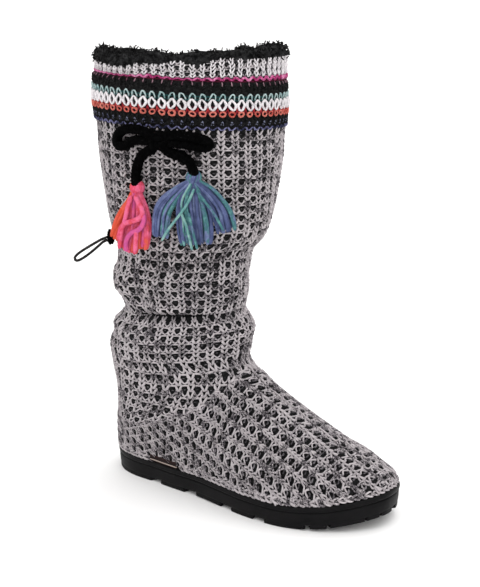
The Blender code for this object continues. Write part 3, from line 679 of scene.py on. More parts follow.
def crease_push(angle, level, creases):
    """How far the creases push the knit out, at each place."""
    push = np.zeros(np.broadcast(angle, level).shape)
    for at, height, wide, tall, depth, slant in creases:
        turn = (np.degrees(angle) - at + 180) % 360 - 180
        push = push + depth * MM * np.exp(-(turn / wide) ** 2
                                          - ((level - height - slant * turn) / tall) ** 2)
    return push


def knit_point(angle, level, out=0.0):
    """Points of the knit with its finer creases; out moves them along the ring's normal."""
    return upper_point(angle, level, crease_push(angle, level, CREASES) + out)


def chart(name, points, u, v, inside, size, relief=1.0):
    """A sheet of the upper laid flat: each place keeps its outward direction, whether it
    belongs to this fabric and how far its yarn stands up.  u and v count stitches; size is
    the sheet's whole extent."""
    rows, columns = points.shape[:2]
    outward = np.cross(np.gradient(points, axis=1), np.gradient(points, axis=0))
    outward /= np.maximum(np.linalg.norm(outward, axis=2), 1e-12)[..., None]
    uv = np.stack((u / size[0], v / size[1]), axis=-1).reshape(-1, 2)
    made = lay_out(name, points.reshape(-1, 3), grid_faces(rows, columns), uv=uv)
    note_on_points(made, "outward", outward, "FLOAT_VECTOR")
    note_on_points(made, "inside", inside)
    note_on_points(made, "relief", np.broadcast_to(relief, (rows, columns)))
    return made


def foot_level(x):
    """Level of the line where the foot's fabric meets the shaft's; x in mm from the heel."""
    return smooth_table(*FOOT_EDGE, x)


def half_length(level):
    """Half of a ring's length from back to front."""
    return (section("front_x", level) - section("back_x", level)) / 2


def fabric_angle(turn, level):
    """Angle round the ring of a column of stitches: columns are wider on the outer side, and
    run straight down where the rings stretch out over the foot."""
    lean = smooth_table(*LEAN_TABLE, level)
    pinch = smooth_table(*PINCH_TABLE, level)
    angle = (turn - lean * np.sin(turn - LEAN_CENTRE)
             - pinch * np.sin(PINCHES * (turn - PINCH_CENTRE)))
    ratio = half_length(STRAIGHT_LEVEL) / half_length(np.minimum(level, STRAIGHT_LEVEL))
    low = np.arccos(np.clip((1 + np.cos(angle)) * ratio - 1, -1, 1))
    whole = np.floor(angle / (2 * math.pi)) * 2 * math.pi
    low = whole + np.where(angle - whole <= math.pi, low, 2 * math.pi - low)
    place, half, slope = HEEL_SHEAR
    side = np.exp(-(((low - whole - place) / half) ** 2))
    low = low - slope * (STRAIGHT_LEVEL - level) * side
    return np.where(level < STRAIGHT_LEVEL, low, angle)


def row_count(level):
    """Rows of stitches from the lowest one up to a level."""
    fine = np.linspace(*ROW_LEVELS, 641)
    rows = np.r_[0, np.cumsum(np.diff(fine) / smooth_table(*ROW_PITCH, fine[:-1]))]
    return np.interp(level, fine, rows)


SHAFT_SIZE = (50.0, 44.0)                # extent of its sheet, in stitches
SHAFT_START = (3.0, 1.0)                 # where its first stitch lies on the sheet
SHAFT_LEVELS, SHAFT_GRID = (21, 287), (168, 205)
ONCE_ROUND = (-24, 384)                  # degrees round the leg, with an overlap
TILT_BACK, TILT_TOP, TILT_REACH = math.radians(210), 175, 60
FLAT_SIDE = (205.0, 48.0, 0.45)          # angle, half angle and depth of the flatter knit


def shaft_chart():
    """The shaft's sheet, from the foot up to the band."""
    turn, level = np.meshgrid(np.radians(np.linspace(*ONCE_ROUND, SHAFT_GRID[1])),
                              np.linspace(*SHAFT_LEVELS, SHAFT_GRID[0]))
    points = knit_point(fabric_angle(turn, level), level)
    u = np.degrees(turn) * SHAFT_COLUMNS / 360 + SHAFT_START[0]
    x = (points[..., 0] - HEEL_BACK_X) / MM
    inside = (level > foot_level(x) - 0.5) & (level < BAND_FOOT + 1.0)
    inside &= (level > STRAIGHT_LEVEL - 1) | (x < SPLIT_X)
    flat = FLAT_SIDE[2] * np.exp(-((np.degrees(turn) - FLAT_SIDE[0]) / FLAT_SIDE[1]) ** 2)
    tilt = ROW_TILT * (1 - np.cos(turn - TILT_BACK)) / 2
    v = row_count(level - tilt * np.clip((TILT_TOP - level) / TILT_REACH, 0, 1))
    return chart("shaft_chart", points, u, v + SHAFT_START[1], inside, SHAFT_SIZE, 1 - flat)


# How far, in mm, the rim's rows of knit climb over the fleece roll, by angle.
RIM_CLIMB = ((0, 90, 180, 200, 218, 230, 242, 253, 262, 271, 278, 284, 290, 296, 302, 308, 314,
              320, 332, 342, 360),
             (4, 4, 4, 3.6, 3.7, 4, 3, 2.5, 3, 3.7, 1.6, 2.0, 6.1, 7.4, 5.2, 4.1, 5.5,
              7.0, 5.6, 5, 4))
RIM_BULGE, RIM_SLOPE = 0.8 * MM, 5       # the rim's knit stands off the roll, from 5 mm up
RIM_DIVE, RIM_END = 2.0 * MM, 2.5        # above its top edge it dives into the fleece
BAND_SIZE = (76.0, 72.0)
BAND_START = (5.0, 30.0)                 # its first column, and the band's middle
BAND_LEVELS, BAND_GRID = (278, 342), (65, 205)


def rim_climb(angle):
    """How far the rim's knit climbs over the roll, in mm."""
    return smooth_table(*RIM_CLIMB, np.degrees(angle) % 360)


def band_chart():
    """The band's sheet; above the rim it goes on up the outside of the fleece roll."""
    turn, level = np.meshgrid(np.radians(np.linspace(*ONCE_ROUND, BAND_GRID[1])),
                              np.linspace(*BAND_LEVELS, BAND_GRID[0]))
    points = upper_point(turn, np.minimum(level, TOP_LEVEL))
    above = np.clip(level - TOP_LEVEL, 0, None)
    outward = upper_point(turn, TOP_LEVEL, MM) - upper_point(turn, TOP_LEVEL)
    points = points + outward / MM * (RIM_BULGE * np.minimum(above / RIM_SLOPE, 1))[..., None]
    points[..., 2] += above * MM
    hidden = np.clip(above - rim_climb(turn), 0, 2)
    points = points - outward / MM * (hidden * RIM_DIVE)[..., None]
    u = np.degrees(turn) * BAND_COLUMNS / 360 + BAND_START[0]
    inside = level < TOP_LEVEL + rim_climb(turn) + RIM_END
    return chart("band_chart", points, u, level - BAND_CENTRE + BAND_START[1], inside,
                 BAND_SIZE)


# The foot is laid open like a sock: u runs along the sole from the back of the heel, w from
# the ridge of the instep down each side.
FOOT_SIZE = (44.0, 44.0)
FOOT_ALONG = 8.7                         # mm of sole to a stitch
FOOT_ACROSS = ((0, 60, 130, 268), (6.6, 8.6, 11.4, 11.8))
FOOT_SPREAD_X = 130.0                    # from here forward the wales follow the ridge
FOOT_LINE = (42.0, 0.30)                 # girth of the middle wale there, and its rise back
HEEL_WRAP = 60.0
TOE_ANCHOR = 225.0                       # here cross rows stand upright; behind, they lean
TUCK = (0.0022, 0.0040)                  # the fabric's edge turned in behind the sole's rim
FOOT_HEM = 2.2                           # level of the lowest stitches
FOOT_RELIEF = ((0, 50, 120, 268), (0.6, 0.62, 1.0, 1.0))
TAB_CLEAR = (73.0, 15.0, 4.6)            # middle, half width and height kept free for the tab
FOOT_STATIONS = np.r_[np.linspace(0, 24, 22), np.linspace(26, 250, 90),
                      np.linspace(252, 266.6, 12)]      # mm from the heel, closer at the ends
FOOT_ROWS, FOOT_OVERLAP = 46, (12, 1.5)  # rows of the sheet; mm that it goes on past its edge
RIDGE_TOP, NO_RIDGE = 94, 200.0          # the ridge starts here; behind it is the shaft
BACK_FADE = 150                          # over this length the heel's own slope dies away
FOOT_WRAP_STRETCH = 1.04                 # forward of the heel a mm of x is a little more knit
FOOT_ORIGIN = (5, 22)                    # the heel's first stitch and the ridge on the sheet
TUCK_LEVEL, HEEL_FADE = -4.0, 1.5        # the tucked edge's level; how the lean dies at the heel


def ridge_level(x):
    """Level whose ring ends at x (mm from the heel) on the ridge of the instep."""
    levels = np.linspace(RIDGE_TOP, 0, 200)
    return np.interp(x, section("front_x", levels), levels, left=NO_RIDGE)


def foot_side(side):
    """One side of the foot from the sole to its top edge: places, stitch counts, belonging."""
    x = FOOT_STATIONS
    top = np.minimum(foot_level(x) + FOOT_OVERLAP[0], ridge_level(x))
    grid_x, grid_s = np.meshgrid(x, np.linspace(0, 1, FOOT_ROWS))
    level = grid_s * top[None, :]
    back, front = section("back_x", level), section("front_x", level)
    at = grid_x + back * np.clip(1 - grid_x / BACK_FADE, 0, 1)
    station = np.clip((at - back) / ((front - back) / 2) - 1, -1, 1)
    angle = np.arccos(station)
    if side > 0:
        angle = 2 * math.pi - angle
    points = knit_point(angle, level)
    inward = unit(points[0] - upper_point(angle[0], level[0], 1.0))
    tuck = points[0] + inward * TUCK[0] - np.array((0, 0, TUCK[1]))
    points = np.concatenate((tuck[None], points))
    level = np.concatenate((np.full((1, len(x)), TUCK_LEVEL), level))
    grid_x = np.concatenate((grid_x[:1], grid_x))
    girth = np.r_[np.zeros((1, len(x))),
                  np.cumsum(np.linalg.norm(np.diff(points, axis=0), axis=2), axis=0)] / MM
    girth -= girth[1]
    total = girth[-1]
    # Across: wales count from the ridge, and behind the spread they run straight back.
    pitch = smooth_table(*FOOT_ACROSS, x)
    spread, wrap, anchor = (int(np.argmin(np.abs(x - place)))
                            for place in (FOOT_SPREAD_X, HEEL_WRAP, TOE_ANCHOR))
    middle = (total[spread] - FOOT_LINE[0]) / pitch[spread]
    line = FOOT_LINE[0] + FOOT_LINE[1] * (x[spread] - x)
    w = np.where(x >= x[spread], (total - girth) / pitch, middle + (line - girth) / pitch)
    # Along: stitches count round the sole's outline, and lean from it to the ridge.
    half_y = np.abs(points[1, :, 1])
    outline_run = np.r_[0, np.cumsum(np.hypot(np.diff(x), np.diff(half_y) / MM))]
    run = np.where(x < x[wrap], outline_run,
                   outline_run[wrap] + (x - x[wrap]) * FOOT_WRAP_STRETCH)
    ridge_run = run_along(points[-1]) / MM
    ahead = ridge_run - ridge_run[anchor] + run[anchor] - run
    ahead = np.where(x < x[spread] + 2,
                     ahead[spread + 1] * (x / x[spread + 1]) ** HEEL_FADE, ahead)
    u = (run + ahead * np.clip(girth / total, 0, 1)) / FOOT_ALONG + FOOT_ORIGIN[0]
    inside = (level < foot_level(grid_x) + FOOT_OVERLAP[1]) & (level > FOOT_HEM)
    if side > 0:
        inside &= (np.abs(grid_x - TAB_CLEAR[0]) > TAB_CLEAR[1]) | (level > TAB_CLEAR[2])
    relief = smooth_table(*FOOT_RELIEF, grid_x)
    return points, u, side * w + FOOT_ORIGIN[1], inside, relief


def foot_chart():
    """Both sides in one sheet, joined along the ridge of the instep."""
    outer, inner = foot_side(-1), foot_side(1)
    points, u, w, inside, relief = (np.concatenate((a, b[-2::-1]))
                                    for a, b in zip(outer, inner))
    return chart("foot_chart", points, u, w, inside, FOOT_SIZE, relief)


HEM_STITCHES = 116
HEM_START = (5.0, 5.0)                   # its first stitch, and the top of the sole
HEM_SIZE = (HEM_STITCHES + 2 * HEM_START[0], 20.0)
HEM_TURN, HEM_LEVELS, HEM_LIFT = (-12, 372), (-1, 10), 0.4 * MM


def hem_chart():
    """A narrow sheet along the foot's lower edge: u counts its stitches, v is the level."""
    turn, level = np.meshgrid(np.radians(np.linspace(*HEM_TURN, 513)),
                              np.linspace(*HEM_LEVELS, 12))
    points = knit_point(turn, level, HEM_LIFT)
    run = run_along(points[4])
    ends = np.interp((0, 2 * math.pi), turn[0], run)
    u = (run - ends[0]) / (ends[1] - ends[0]) * HEM_STITCHES + HEM_START[0]
    x = (points[..., 0] - HEEL_BACK_X) / MM
    inside = (points[..., 1] > 0) | (np.abs(x - TAB_CLEAR[0]) > TAB_CLEAR[1] + 1)
    return chart("hem_chart", points, np.broadcast_to(u, level.shape),
                 level + HEM_START[1], inside, HEM_SIZE)


# ---- the tree that lays a motif over a chart -------------------------------------------------
WANDER_SCALE = 0.75                      # waves of the stitches' wandering to a stitch


def chart_tree():
    """Copies of a motif stand on a lattice of stitches and are bent onto the chart."""
    tree, inlet = open_tree("lay stitches on chart", "Yarn", {
        "Chart": "Geometry", "Motif": "Object", "First": "Vector", "Span": "Vector",
        "Columns": "Int", "Rows": "Int", "Middle": "Vector", "Chart Size": "Vector",
        "Seed": "Int", "Turn": "Float", "Swell": "Float", "Wander": "Vector",
        "Material": "Material"})
    here = wire(tree, "GeometryNodeInputPosition").outputs[0]

    def vector(operation, *values):
        """Answer of a sum with vectors."""
        return wire(tree, "ShaderNodeVectorMath", dict(enumerate(values)),
                    operation=operation).outputs[0]

    def on_chart(name, kind, place):
        """What the chart has stored at a place counted in stitches."""
        return wire(tree, "GeometryNodeSampleUVSurface",
                    {"Mesh": inlet["Chart"], "Value": stored(tree, name, kind),
                     "UV Map": stored(tree, "UVMap", "FLOAT_VECTOR"),
                     "Sample UV": vector("DIVIDE", place, inlet["Chart Size"])},
                    data_type=kind)

    def either(operation, *values):
        """Answer of a yes or no question."""
        return wire(tree, "FunctionNodeBooleanMath", dict(enumerate(values)),
                    operation=operation).outputs[0]

    def own_chance(low, high, step):
        """A random number of its own for each stitch."""
        return chance(tree, low, high, reckon(tree, "ADD", inlet["Seed"], float(step)))

    def without(geometry, lost):
        """The geometry less the points that are lost."""
        return wire(tree, "GeometryNodeDeleteGeometry", {"Geometry": geometry,
                                                         "Selection": lost},
                    domain="POINT").outputs[0]

    sheet = wire(tree, "GeometryNodeMeshGrid", {"Size X": 1.0, "Size Y": 1.0,
                                                "Vertices X": inlet["Columns"],
                                                "Vertices Y": inlet["Rows"]})
    spread = vector("MULTIPLY_ADD", vector("ADD", here, (0.5, 0.5, 0.0)),
                    inlet["Span"], inlet["First"])
    lattice = wire(tree, "GeometryNodeSetPosition", {"Geometry": sheet.outputs["Mesh"],
                                                     "Position": spread})
    belongs = on_chart("inside", "FLOAT", vector("ADD", here, inlet["Middle"]))
    outside = wire(tree, "FunctionNodeCompare", {0: belongs.outputs[0], 1: 0.5},
                   data_type="FLOAT", operation="LESS_THAN").outputs[0]
    lost = either("OR", outside, either("NOT", belongs.outputs["Is Valid"]))
    turn = own_chance(reckon(tree, "MULTIPLY", inlet["Turn"], -1.0), inlet["Turn"], 1)
    scale = own_chance(reckon(tree, "SUBTRACT", 1.0, inlet["Swell"]),
                       reckon(tree, "ADD", 1.0, inlet["Swell"]), 2)
    real = stand_copies(tree, without(lattice.outputs[0], lost), inlet["Motif"],
                        wire(tree, "ShaderNodeCombineXYZ", {"Z": turn}).outputs[0], scale,
                        own_chance(0.0, 1.0, 3))
    cloud = wire(tree, "ShaderNodeTexNoise", {"Vector": here, "Scale": WANDER_SCALE,
                                              "Detail": 2.0})
    drift = vector("SUBTRACT", cloud.outputs["Color"], (0.5, 0.5, 0.5))
    moved = wire(tree, "GeometryNodeSetPosition",
                 {"Geometry": real, "Offset": vector("MULTIPLY", drift, inlet["Wander"])})
    seat = on_chart("position", "FLOAT_VECTOR", here)
    height = wire(tree, "ShaderNodeSeparateXYZ", {"Vector": here}).outputs["Z"]
    stand = reckon(tree, "MULTIPLY", on_chart("relief", "FLOAT", here).outputs[0], MM)
    lift = wire(tree, "ShaderNodeVectorMath",
                {0: on_chart("outward", "FLOAT_VECTOR", here).outputs[0],
                 "Scale": reckon(tree, "MULTIPLY", height, stand)}, operation="SCALE")
    clean = without(moved.outputs[0], either("NOT", seat.outputs["Is Valid"]))
    bent = wire(tree, "GeometryNodeSetPosition",
                {"Geometry": clean,
                 "Position": vector("ADD", seat.outputs[0], lift.outputs[0])})
    return close_tree(tree, bent.outputs[0], inlet["Material"])


STRAND_SIDES = 5


def motif(name, strands, cell=(CELL_WIDTH, CELL_HEIGHT), turned=False):
    """A few strands drawn in mm (x across, y up, z off the wall), scaled to one cell: each
    one's points, radius and, where it isn't the usual, number of sides.
    turned lays it on its side, for wales that run along the foot."""
    made = bundle(name, [tube(points, radii, *(own_sides or (STRAND_SIDES,)))
                         for points, radii, *own_sides in strands])
    for vert in made.data.vertices:
        x, y = vert.co.x / cell[0], vert.co.y / cell[1]
        z = vert.co.z - YARN_SINK
        vert.co = (y, x, z) if turned else (x, y, z)
    if turned:
        made.data.flip_normals()
    return made


def lay_motif(name, tree, sheet, drawn, finish, first, step, count, size, seed,
              middle=(0.0, 0.0), turn=0.05, swell=0.05, wander=(0.3, 0.3)):
    """Lay a motif over a chart as one piece of the upper: from the first stitch on, a count
    of them a step apart; turn, swell and wander are how unlike each other they are."""
    span = ((count[0] - 1) * step[0], (count[1] - 1) * step[1], 0.0)
    return keep(knit_from(name, sheet, tree, {
        "Motif": drawn, "First": (*first, 0.0), "Span": span, "Columns": count[0],
        "Rows": count[1], "Chart Size": (*size, 1.0), "Seed": seed,
        "Middle": (*middle, 0.0), "Turn": turn, "Swell": swell, "Wander": (*wander, 0.0),
        "Material": finish}), "upper")


# ---- knit ------------------------------------------------------------------------------------
# Strands as drawn in one cell, mm: x across from the middle of a wale, y up, z off the wall.
WALE_LEG = ((0.35, -0.75, 0.0), (1.0, 0.5, 0.7), (1.85, 1.9, 0.85), (2.35, 3.2, 0.5),
            (2.1, 4.2, -0.1))
WALE_RADII = (0.6, 0.88, 0.92, 0.85, 0.6)
WALE_CORE = ((0.0, -0.4, -0.7), (0.0, 1.6, -0.6), (0.0, 3.8, -0.7))
CUP = ((2.3, 3.5, -0.2), (3.6, 1.5, 0.1), (5.25, 0.5, 0.2), (6.9, 1.5, 0.1),
       (8.2, 3.5, -0.2))
BAR = ((2.2, -0.85, 0.0), (5.25, -0.65, 0.25), (8.3, -0.85, 0.0))
BUMP = ((3.7, 3.7, -0.9), (4.5, 4.2, -0.3), (5.25, 4.3, -0.2), (6.0, 4.2, -0.3),
        (6.8, 3.7, -0.9))
BUMP_RADII = (0.3, 0.55, 0.6, 0.55, 0.3)


def both_sides(points, radii):
    """A strand and its mirror image."""
    return (points, radii), (tuple((-x, *rest) for x, *rest in points), radii)


WALE = (*both_sides(WALE_LEG, WALE_RADII), (WALE_CORE, 0.7, 3))
LOOSE_BUMP = 0.15                        # the bumps lie less evenly than the rest
SHAFT_ROWS = 36


def lay_shaft(tree, sheet, finishes):
    """The shaft's wales, in two pieces, and the strands and bumps between them."""
    wale = motif("wale_stitch", WALE)
    strand = motif("cell_strands", ((CUP, 0.66), (BAR, 0.72)))
    bump = motif("cell_bump", ((BUMP, BUMP_RADII, 4),))
    first, start = SHAFT_START
    for name, drawn, finish, low, step, seed, middle, turn in (
            ("knit_wales_low", wale, "knit", start, 0.5, 3, (0.0, 0.25), 0.05),
            ("knit_wales_high", wale, "knit", start + SHAFT_ROWS / 2, 0.5, 3, (0.0, 0.25),
             0.05),
            ("knit_strands", strand, "knit", start, 1.0, 5, (0.5, 0.25), 0.05),
            ("knit_bumps", bump, "knit_bump_painted_shade", start, 1.0, 7, (0.5, 0.5), LOOSE_BUMP)):
        lay_motif(name, tree, sheet, drawn, finishes[finish], (first, low), (1.0, step),
                  (SHAFT_COLUMNS, SHAFT_ROWS), SHAFT_SIZE, seed, middle, turn)
    put_away(wale, strand, bump)


FOOT_CELL = (11.4, 8.7)                  # mm across and along
FOOT_START, FOOT_COUNT = (1.0, 1.0), (38, 42)


def lay_foot(tree, sheet, finishes):
    """The foot's stitches run along it, so the same cell lies on its side."""
    wale, strand, bump = (motif(name, strands, FOOT_CELL, turned=True) for name, strands in (
        ("foot_wale_stitch", WALE), ("foot_cell_strands", ((CUP, 0.7), (BAR, 0.75))),
        ("foot_cell_bump", ((BUMP, BUMP_RADII),))))
    for name, drawn, finish, step, seed, middle, turn in (
            ("foot_wales", wale, "knit", 0.5, 13, (0.25, 0.0), 0.05),
            ("foot_strands", strand, "knit", 1.0, 15, (0.25, 0.5), 0.05),
            ("foot_bumps", bump, "knit_bump_painted_shade", 1.0, 17, (0.5, 0.5), LOOSE_BUMP)):
        lay_motif(name, tree, sheet, drawn, finishes[finish], FOOT_START, (step, 1.0),
                  (int(FOOT_COUNT[0] / step), FOOT_COUNT[1]), FOOT_SIZE, seed, middle, turn)
    put_away(wale, strand, bump)


HEM_CELL = (1.2, 4.2)
HEM_LEVEL = 2.3                          # mm above the top of the sole


def lay_hem(tree, sheet, finishes):
    """A row of small stitches along the foot's lower edge."""
    drawn = motif("hem_stitch", WALE, HEM_CELL, turned=True)
    lay_motif("foot_hem", tree, sheet, drawn, finishes["knit"],
              (HEM_START[0], HEM_START[1] + HEM_LEVEL), (1.0, 1.0), (HEM_STITCHES, 1),
              HEM_SIZE, 19, wander=(0.3, 1.0))
    put_away(drawn)


# ---- band ------------------------------------------------------------------------------------
BAND_CELL = (7.45, 1.0)
# Heights in mm from the middle of the band, where the pale strands cross.
HALF = BAND_CELL[0] / 2
ALMOND = ((0.0, 3.7, 0.9), (0.9, 2.9, 1.0), (1.95, 1.4, 0.9), (2.85, 0.0, 0.8),
          (2.4, -1.5, 0.8), (1.4, -3.2, 0.9), (0.0, -4.3, 1.0))
ALMOND_RADII = (0.6, 0.85, 1.05, 1.3, 1.1, 0.9, 0.6)
MAGENTA_LEG = ((0.0, -0.8, 0.5), (1.2, -0.4, 0.9), (2.5, 0.6, 0.9), (3.7, 0.9, 0.5))
NAVY_LEG = ((0.2, -1.1, 0.0), (1.2, -0.7, 0.7), (2.5, 0.6, 0.7), (3.3, 1.1, 0.0))
DARK_LEG = ((0.3, -1.0, 0.0), (1.5, 0.0, 0.35), (2.9, 1.0, 0.0))
TEAL_ARC = ((-2.3, -2.4, 0.0), (-2.05, -0.2, 0.4), (-1.35, 1.7, 0.7), (-0.5, 2.5, 0.8),
            (0.5, 2.5, 0.8), (1.35, 1.7, 0.7), (2.05, -0.2, 0.4), (2.3, -2.4, 0.0))
NAVY_ARC = ((-0.9, -2.0, 0.0), (-0.8, 0.4, 0.5), (0.0, 1.7, 0.7), (0.8, 0.4, 0.5),
            (0.9, -2.0, 0.0))
PEAK = ((HALF - 1.0, -1.8, 0.0), (HALF, 1.4, 0.5), (HALF + 1.0, -1.8, 0.0))
TICK = ((0.1, -1.5, 0.3), (0.0, 0.0, 0.6), (-0.1, 1.5, 0.2))
FLOAT = ((0.0, 0.0, -0.3), (HALF, 0.25, 0.05), (HALF * 2, 0.0, -0.3))

CORAL_RING = (tuple((2.3 * math.cos(a), 1.85 * math.sin(a), 0.7)
                    for a in np.linspace(-math.pi / 2, 1.5 * math.pi, 9)), 0.75)
# Name of each row, its strands, its yarn and the heights, from the top down, where it lies.
BAND_ROWS = (
    ("band_magenta_row", both_sides(MAGENTA_LEG, 0.95), "band_magenta", (19.0,)),
    ("band_burgundy_floats", ((FLOAT, 0.8),), "band_burgundy", (17.2,)),
    ("band_rose_ticks", ((TICK, 0.4),), "band_rose", (15.2,)),
    ("band_teal_arcs", ((TEAL_ARC, 0.56),), "band_teal", (5.1,)),
    ("band_teal_floats", ((FLOAT, 0.75),), "band_deep_teal", (5.4, 3.0)),
    ("band_almonds", both_sides(ALMOND, ALMOND_RADII), "band_white", (0.0,)),
    ("band_red_peaks", ((PEAK, 0.75),), "band_deep_red", (-4.2,)),
    ("band_red_floats", ((FLOAT, 0.8),), "band_burgundy", (-2.2, -6.4)),
    ("band_coral_rings", (CORAL_RING,), "band_coral", (-7.0,)),
    ("band_navy_arcs", ((NAVY_ARC, 0.42),), "band_navy", (-14.2,)),
    ("band_navy_row", both_sides(NAVY_LEG, 0.62), "band_deep_navy", (-18.0,)),
    ("band_dark_rows", both_sides(DARK_LEG, 0.85), "knit_ground",
     (14.2, 12.2, 10.4, -9.6, -11.4, -13.4, -15.6)),
)


def lay_band(tree, sheet, finishes):
    """The patterned band, one row of its motifs after another from the top down."""
    for place, (name, strands, yarn, heights) in enumerate(BAND_ROWS):
        drawn = motif(name + "_stitch", strands, BAND_CELL)
        for k, height in enumerate(heights):
            title = name if len(heights) == 1 else f"{name}_{k + 1}"
            lay_motif(title, tree, sheet, drawn, finishes[yarn],
                      (BAND_START[0], height + BAND_START[1]), (1.0, 1.0),
                      (BAND_COLUMNS, 1), BAND_SIZE, 40 + place * 7 + k,
                      turn=0.03, swell=0.04, wander=(0.3, 1.6))
        put_away(drawn)


RIM_LEVEL, RIM_PITCH, RIM_ROWS = 325.2, 5.6, 3    # first level, row height, number of rows


def lay_rim(tree, sheet, finishes):
    """Rows of plump stitches over the band, in the band's own columns."""
    for name, strands, yarn, seed, step, middle in (
            ("rim_wales", WALE[:2], "band_white", 91, 0.5, 0.0),
            ("rim_strands", ((CUP, 0.75), (BAR, 0.75)), "knit", 93, 1.0, 0.5),
            ("rim_bumps", ((BUMP, BUMP_RADII),), "knit_bump_painted_shade", 95, 1.0, 0.5)):
        drawn = motif(name + "_stitch", strands, (CELL_WIDTH, CELL_HEIGHT / RIM_PITCH))
        lay_motif(name, tree, sheet, drawn, finishes[yarn],
                  (BAND_START[0], RIM_LEVEL - BAND_CENTRE + BAND_START[1]),
                  (1.0, RIM_PITCH * step), (BAND_COLUMNS, int(RIM_ROWS / step)), BAND_SIZE,
                  seed, (middle, 0.0), wander=(0.35, 1.6))
        put_away(drawn)


# ---- ground of the knit and the fleece lining ------------------------------------------------
GROUND_SEGMENTS, LINING_SEGMENTS = 176, 120
GROUND_LEVELS = np.r_[np.linspace(0, 120, 61), np.linspace(121.5, 150, 20),
                      np.linspace(153, 331, 64)]          # closest over the ankle's folds
LINING_LEVELS = np.r_[np.linspace(0, 120, 41), np.linspace(124.5, 331, 47)]
GROUND_DEPTH, LINING_DEPTH = WALL * 0.62, WALL * 0.66
GROUND_SINK, LINING_OVERLAP = 0.6 * MM, 0.2 * MM
PILE_LEAST, PILE_RANGE = 0.75, 0.5       # shares of the lining's thickness


def wall_between(outer, inner):
    """A thin wall between two sheets, closed along both edges."""
    rows, columns = outer.shape[:2]
    return (np.concatenate((outer.reshape(-1, 3), inner[::-1].reshape(-1, 3))),
            ring_faces(rows * 2, columns))


def build_ground(finish, lining):
    """Thin black ground behind the stitches, pushed out along the deepest folds as painted fold
    shadow, and the fleece lining inside it.
    """
    turn, level = np.meshgrid(turns(GROUND_SEGMENTS), GROUND_LEVELS)
    # painted shade: the black ground rises through the stitches along the deepest folds
    painted_fold_shadow = crease_push(turn, level, FOLD_SHADOW_GROUND)
    keep(closed_shape("knit_ground",
                      *wall_between(knit_point(turn, level, painted_fold_shadow - GROUND_SINK),
                                    knit_point(turn, level, -GROUND_DEPTH)), finish), "upper")
    turn, level = np.meshgrid(turns(LINING_SEGMENTS), LINING_LEVELS)
    inner = knit_point(turn, level, -LINING_DEPTH)
    rough = RNG.uniform(0.0, 1.0, inner.shape[:2])
    deep = knit_point(turn, level, -WALL - LINING_OVERLAP) - inner
    pile = inner + deep * (PILE_LEAST + PILE_RANGE * rough[..., None])
    keep(closed_shape("fleece_lining", *wall_between(inner, pile), lining), "upper")


# ---- fleece roll -----------------------------------------------------------------------------
COLLAR_HALF_WIDTH, COLLAR_HALF_HEIGHT = 6.2 * MM, 5.6 * MM
COLLAR_REACH, COLLAR_TUCK = 0.6 * MM, 0.5 * MM
CURL_COUNT, CURL_RISE, CURL_TURN, CURL_TILT = 34, 2.6 * MM, 0.085, 0.75
CURL_LEAN, CURL_SIZE, CURL_JITTER, SEAT_SINE = (20, 150), (0.45, 1.0), 0.3, -0.3
# Extra height of the roll in mm, by angle.
ROLL_SWELL = ((0, 30, 64, 75, 85, 94, 102, 120, 139, 150, 161, 180, 210, 235, 260, 300, 345, 360),
              (0.6, 1.0, 1.8, -1.6, 2.2, -2.2, 0.3, 0.6, -2.8, -0.6, 0.6, 0.6, 2.6, 1.6, 0.4,
               0.4, 0.4, 0.6))
ROLL_STATIONS, ROLL_SIDES, ROLL_SEED = 300, 22, 7
ROLL_SHRINK, CURL_SHARE = 0.94, 0.9      # room that the scattered curls take up
LUMP_FOOT, PILE_EDGE = 0.25, -0.1        # how low the lumps and the thinned pile reach
RIM_OVERLAP = 0.6                        # mm of bare roll hidden behind the rim's edge


def build_roll(finish):
    """The fleece roll on the rim, with its soft lumps."""
    rng = np.random.default_rng(ROLL_SEED)
    lumps = [(2 * math.pi * (i + rng.uniform(-CURL_JITTER, CURL_JITTER)) / CURL_COUNT,
              math.radians(rng.uniform(*CURL_LEAN)), rng.uniform(*CURL_SIZE))
             for i in range(CURL_COUNT)]
    angle = turns(ROLL_STATIONS)
    edge = upper_point(angle, TOP_LEVEL)
    outer = unit(upper_point(angle, TOP_LEVEL, MM) - edge)
    middle = edge + outer * (COLLAR_REACH - COLLAR_HALF_WIDTH)
    middle[:, 2] += COLLAR_HALF_HEIGHT + GAP - COLLAR_TUCK
    a, t = np.meshgrid(angle, turns(ROLL_SIDES), indexing="ij")
    rise = np.zeros_like(a)
    for place, lean, size in lumps:
        away = np.arctan2(np.sin(a - place), np.cos(a - place))
        tilt = np.arctan2(np.sin(t - lean), np.cos(t - lean))
        rise += size * np.exp(-(away / CURL_TURN) ** 2 - (tilt / CURL_TILT) ** 2)
    swell = smooth_table(*ROLL_SWELL, np.degrees(a)) * MM
    grow = np.where(np.sin(t) >= SEAT_SINE,
                    (CURL_SHARE * CURL_RISE * np.minimum(rise, 1) + swell)
                    * np.clip(np.sin(t) + LUMP_FOOT, 0, None), 0)
    verts = middle[:, None] + outer[:, None] * (np.cos(t) * COLLAR_HALF_WIDTH)[..., None]
    verts[..., 2] += np.sin(t) * (COLLAR_HALF_HEIGHT + grow) * ROLL_SHRINK
    roll = closed_shape("fleece_roll", verts.reshape(-1, 3),
                        ring_faces(ROLL_STATIONS, ROLL_SIDES), finish)
    over_rim = (verts[..., 2] - edge[:, None, 2]) / MM - rim_climb(a) + RIM_OVERLAP
    note_on_points(roll, "pile", np.where(np.cos(t) > PILE_EDGE,
                                          np.clip(over_rim, 0, 1), 1.0))
    return keep(roll, "collar_fleece")


CURL_SPIN = (0.5, 0.5, 3.14)            # a curl leans either way and spins freely


